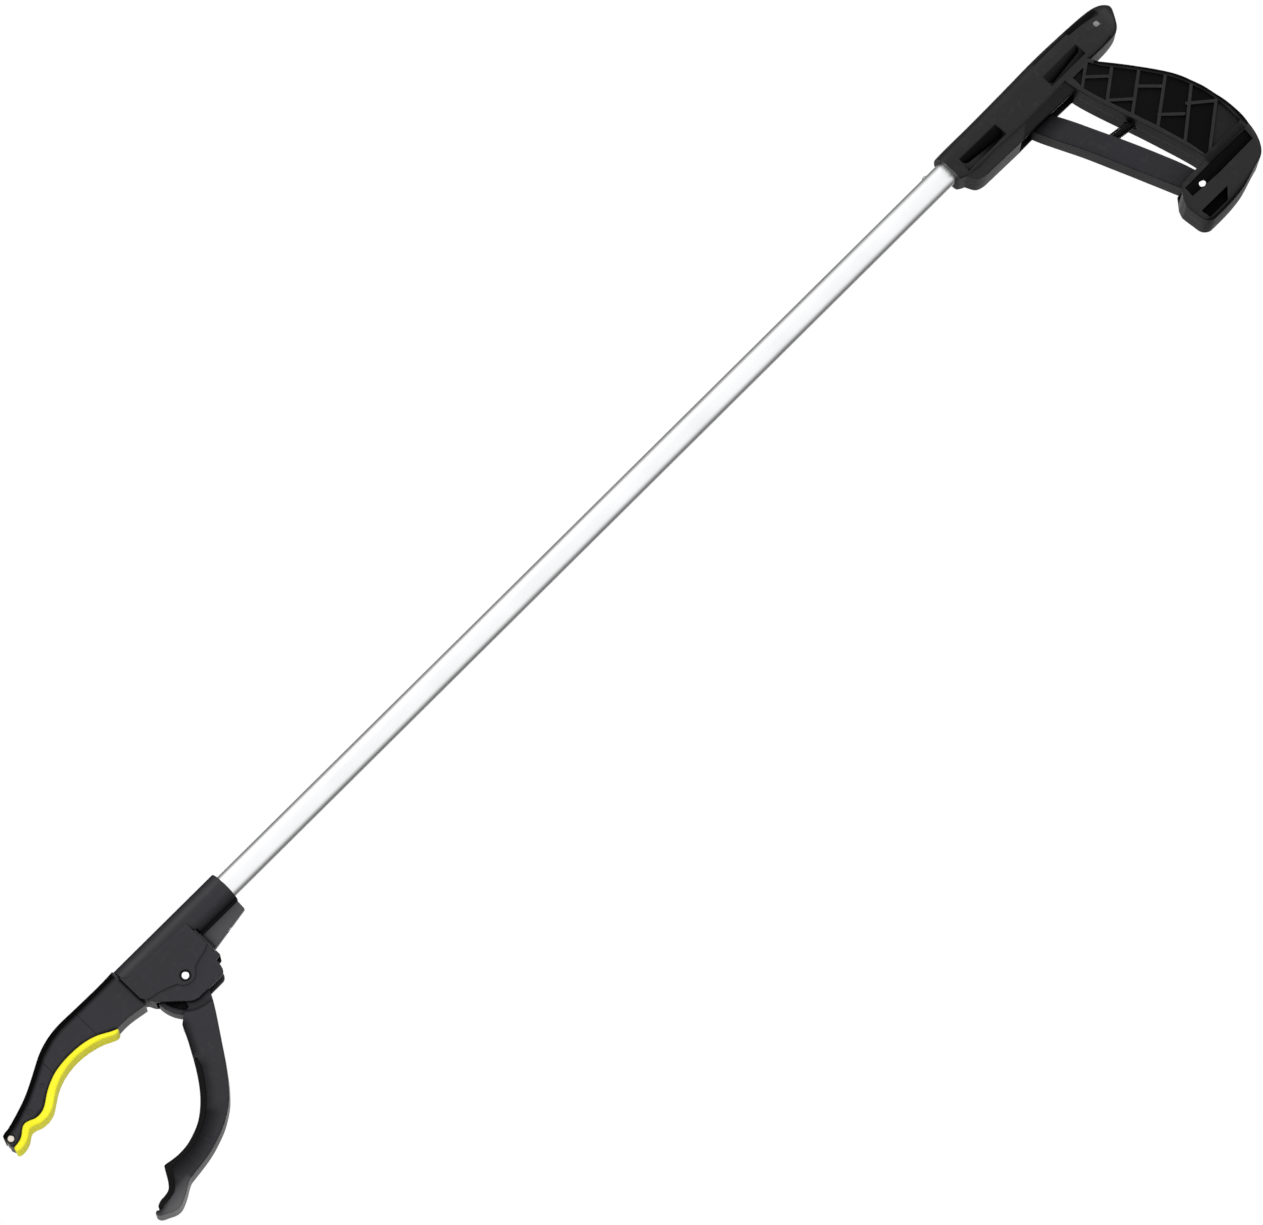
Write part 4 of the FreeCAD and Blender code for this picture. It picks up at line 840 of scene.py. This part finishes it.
def floor_material():
    """Pale from above and clear from below, running over into plain white far out."""
    material = bpy.data.materials.new("floor_pale")
    g = Graph(material)
    pale = g.add("ShaderNodeBsdfPrincipled", {
        "Base Color": (0.93, 0.93, 0.93, 1),
        "Roughness": 0.8,
        "Specular IOR Level": 0.1,
    })
    white = g.add("ShaderNodeEmission", {"Color": WHITE, "Strength": 1.0})
    clear = g.add("ShaderNodeBsdfTransparent")
    position = g.add("ShaderNodeTexCoord").outputs["Object"]
    distance = g.vector("LENGTH", position, result="Value")
    far = g.remap(distance, (0.55, 2.6), (0.0, 1.0), interpolation_type="SMOOTHSTEP")
    upper = g.mix_shader(far, pale.outputs[0], white.outputs[0])
    underside = g.add("ShaderNodeNewGeometry").outputs["Backfacing"]
    g.add("ShaderNodeOutputMaterial", {
        "Surface": g.mix_shader(underside, upper, clear.outputs[0]),
    })
    return material


bm = bmesh.new()
bmesh.ops.create_grid(bm, x_segments=1, y_segments=1, size=FLOOR_SIZE)
floor = new_object(bm, "floor")
floor.location = (centre_x, 0, cad_low.z - FLOOR_GAP)
floor.visible_glossy = False
floor.visible_diffuse = False
floor.data.materials.append(floor_material())


# ---------------------------------------------------------------- world and lights
def studio_world():
    """A white tent: bright on the camera's side of the object, dim grey behind it."""
    world = bpy.data.worlds.new("studio")
    scene.world = world
    g = Graph(world)
    direction = g.add("ShaderNodeTexCoord").outputs["Camera"]
    towards = g.vector("DOT_PRODUCT", direction, (-0.09, 0.09, -1.0), result="Value")
    tent = g.remap(towards, (-0.52, 0.28), (0.20, 1.38), interpolation_type="SMOOTHSTEP")
    # a soft bright patch at the far end of the same axis
    patch = g.remap(towards, (-0.96, -0.80), (0.85, 0.0), interpolation_type="SMOOTHSTEP")
    lighting = g.add("ShaderNodeBackground", {"Strength": g.math("ADD", tent, patch)})
    # the camera itself sees plain white
    backdrop = g.add("ShaderNodeBackground", {"Color": WHITE, "Strength": 1.0})
    seen = g.add("ShaderNodeLightPath").outputs["Is Camera Ray"]
    g.add("ShaderNodeOutputWorld", {
        "Surface": g.mix_shader(seen, lighting.outputs[0], backdrop.outputs[0]),
    })


def area_light(name, location, width, height, energy):
    """A rectangular light aimed at the middle of the object."""
    light = bpy.data.lights.new(name, "AREA")
    light.energy = energy
    light.shape = "RECTANGLE"
    light.size = width
    light.size_y = height
    obj = bpy.data.objects.new(name, light)
    obj.location = location
    aim = Vector((centre_x, 0.0, centre_z)) - Vector(location)
    obj.rotation_mode = "QUATERNION"
    obj.rotation_quaternion = aim.to_track_quat("-Z", "Y")
    obj.visible_camera = False
    scene.collection.objects.link(obj)


studio_world()
area_light("key_top", (centre_x + 0.15, 0.95, 1.55), width=1.3, height=0.9, energy=3.5)
area_light("side_far", (centre_x - 1.5, 0.7, 0.25), width=0.9, height=0.7, energy=2.0)

scene.view_settings.view_transform = "Standard"
scene.view_settings.look = "None"


# ---------------------------------------------------------------- camera
# 12 degrees round towards the jaws and 10 degrees below its target, rolled so that the
# tube runs from lower left to upper right.
CAMERA_TARGET = Vector((0.28007, 0.0, -0.04600))
CAMERA_PLACE = Vector((0.89433, 2.88986, -0.56694))
CAMERA_ROLL = math.radians(-47.008)
SENSOR_WIDTH = 36.0
FOCAL_LENGTH = 170.987173

forward = (CAMERA_TARGET - CAMERA_PLACE).normalized()
level_right = forward.cross(Vector((0, 0, 1))).normalized()
level_up = level_right.cross(forward)
right = math.cos(CAMERA_ROLL) * level_right + math.sin(CAMERA_ROLL) * level_up
up = -math.sin(CAMERA_ROLL) * level_right + math.cos(CAMERA_ROLL) * level_up
rotation = Matrix((right, up, -forward)).transposed()

camera_data = bpy.data.cameras.new("camera")
camera_data.sensor_fit = "HORIZONTAL"
camera_data.sensor_width = SENSOR_WIDTH
camera_data.lens = FOCAL_LENGTH
camera_data.clip_start = 0.05
camera_data.clip_end = 50.0
camera = bpy.data.objects.new("camera", camera_data)
camera.matrix_world = Matrix.Translation(CAMERA_PLACE) @ rotation.to_4x4()
scene.collection.objects.link(camera)
scene.camera = camera
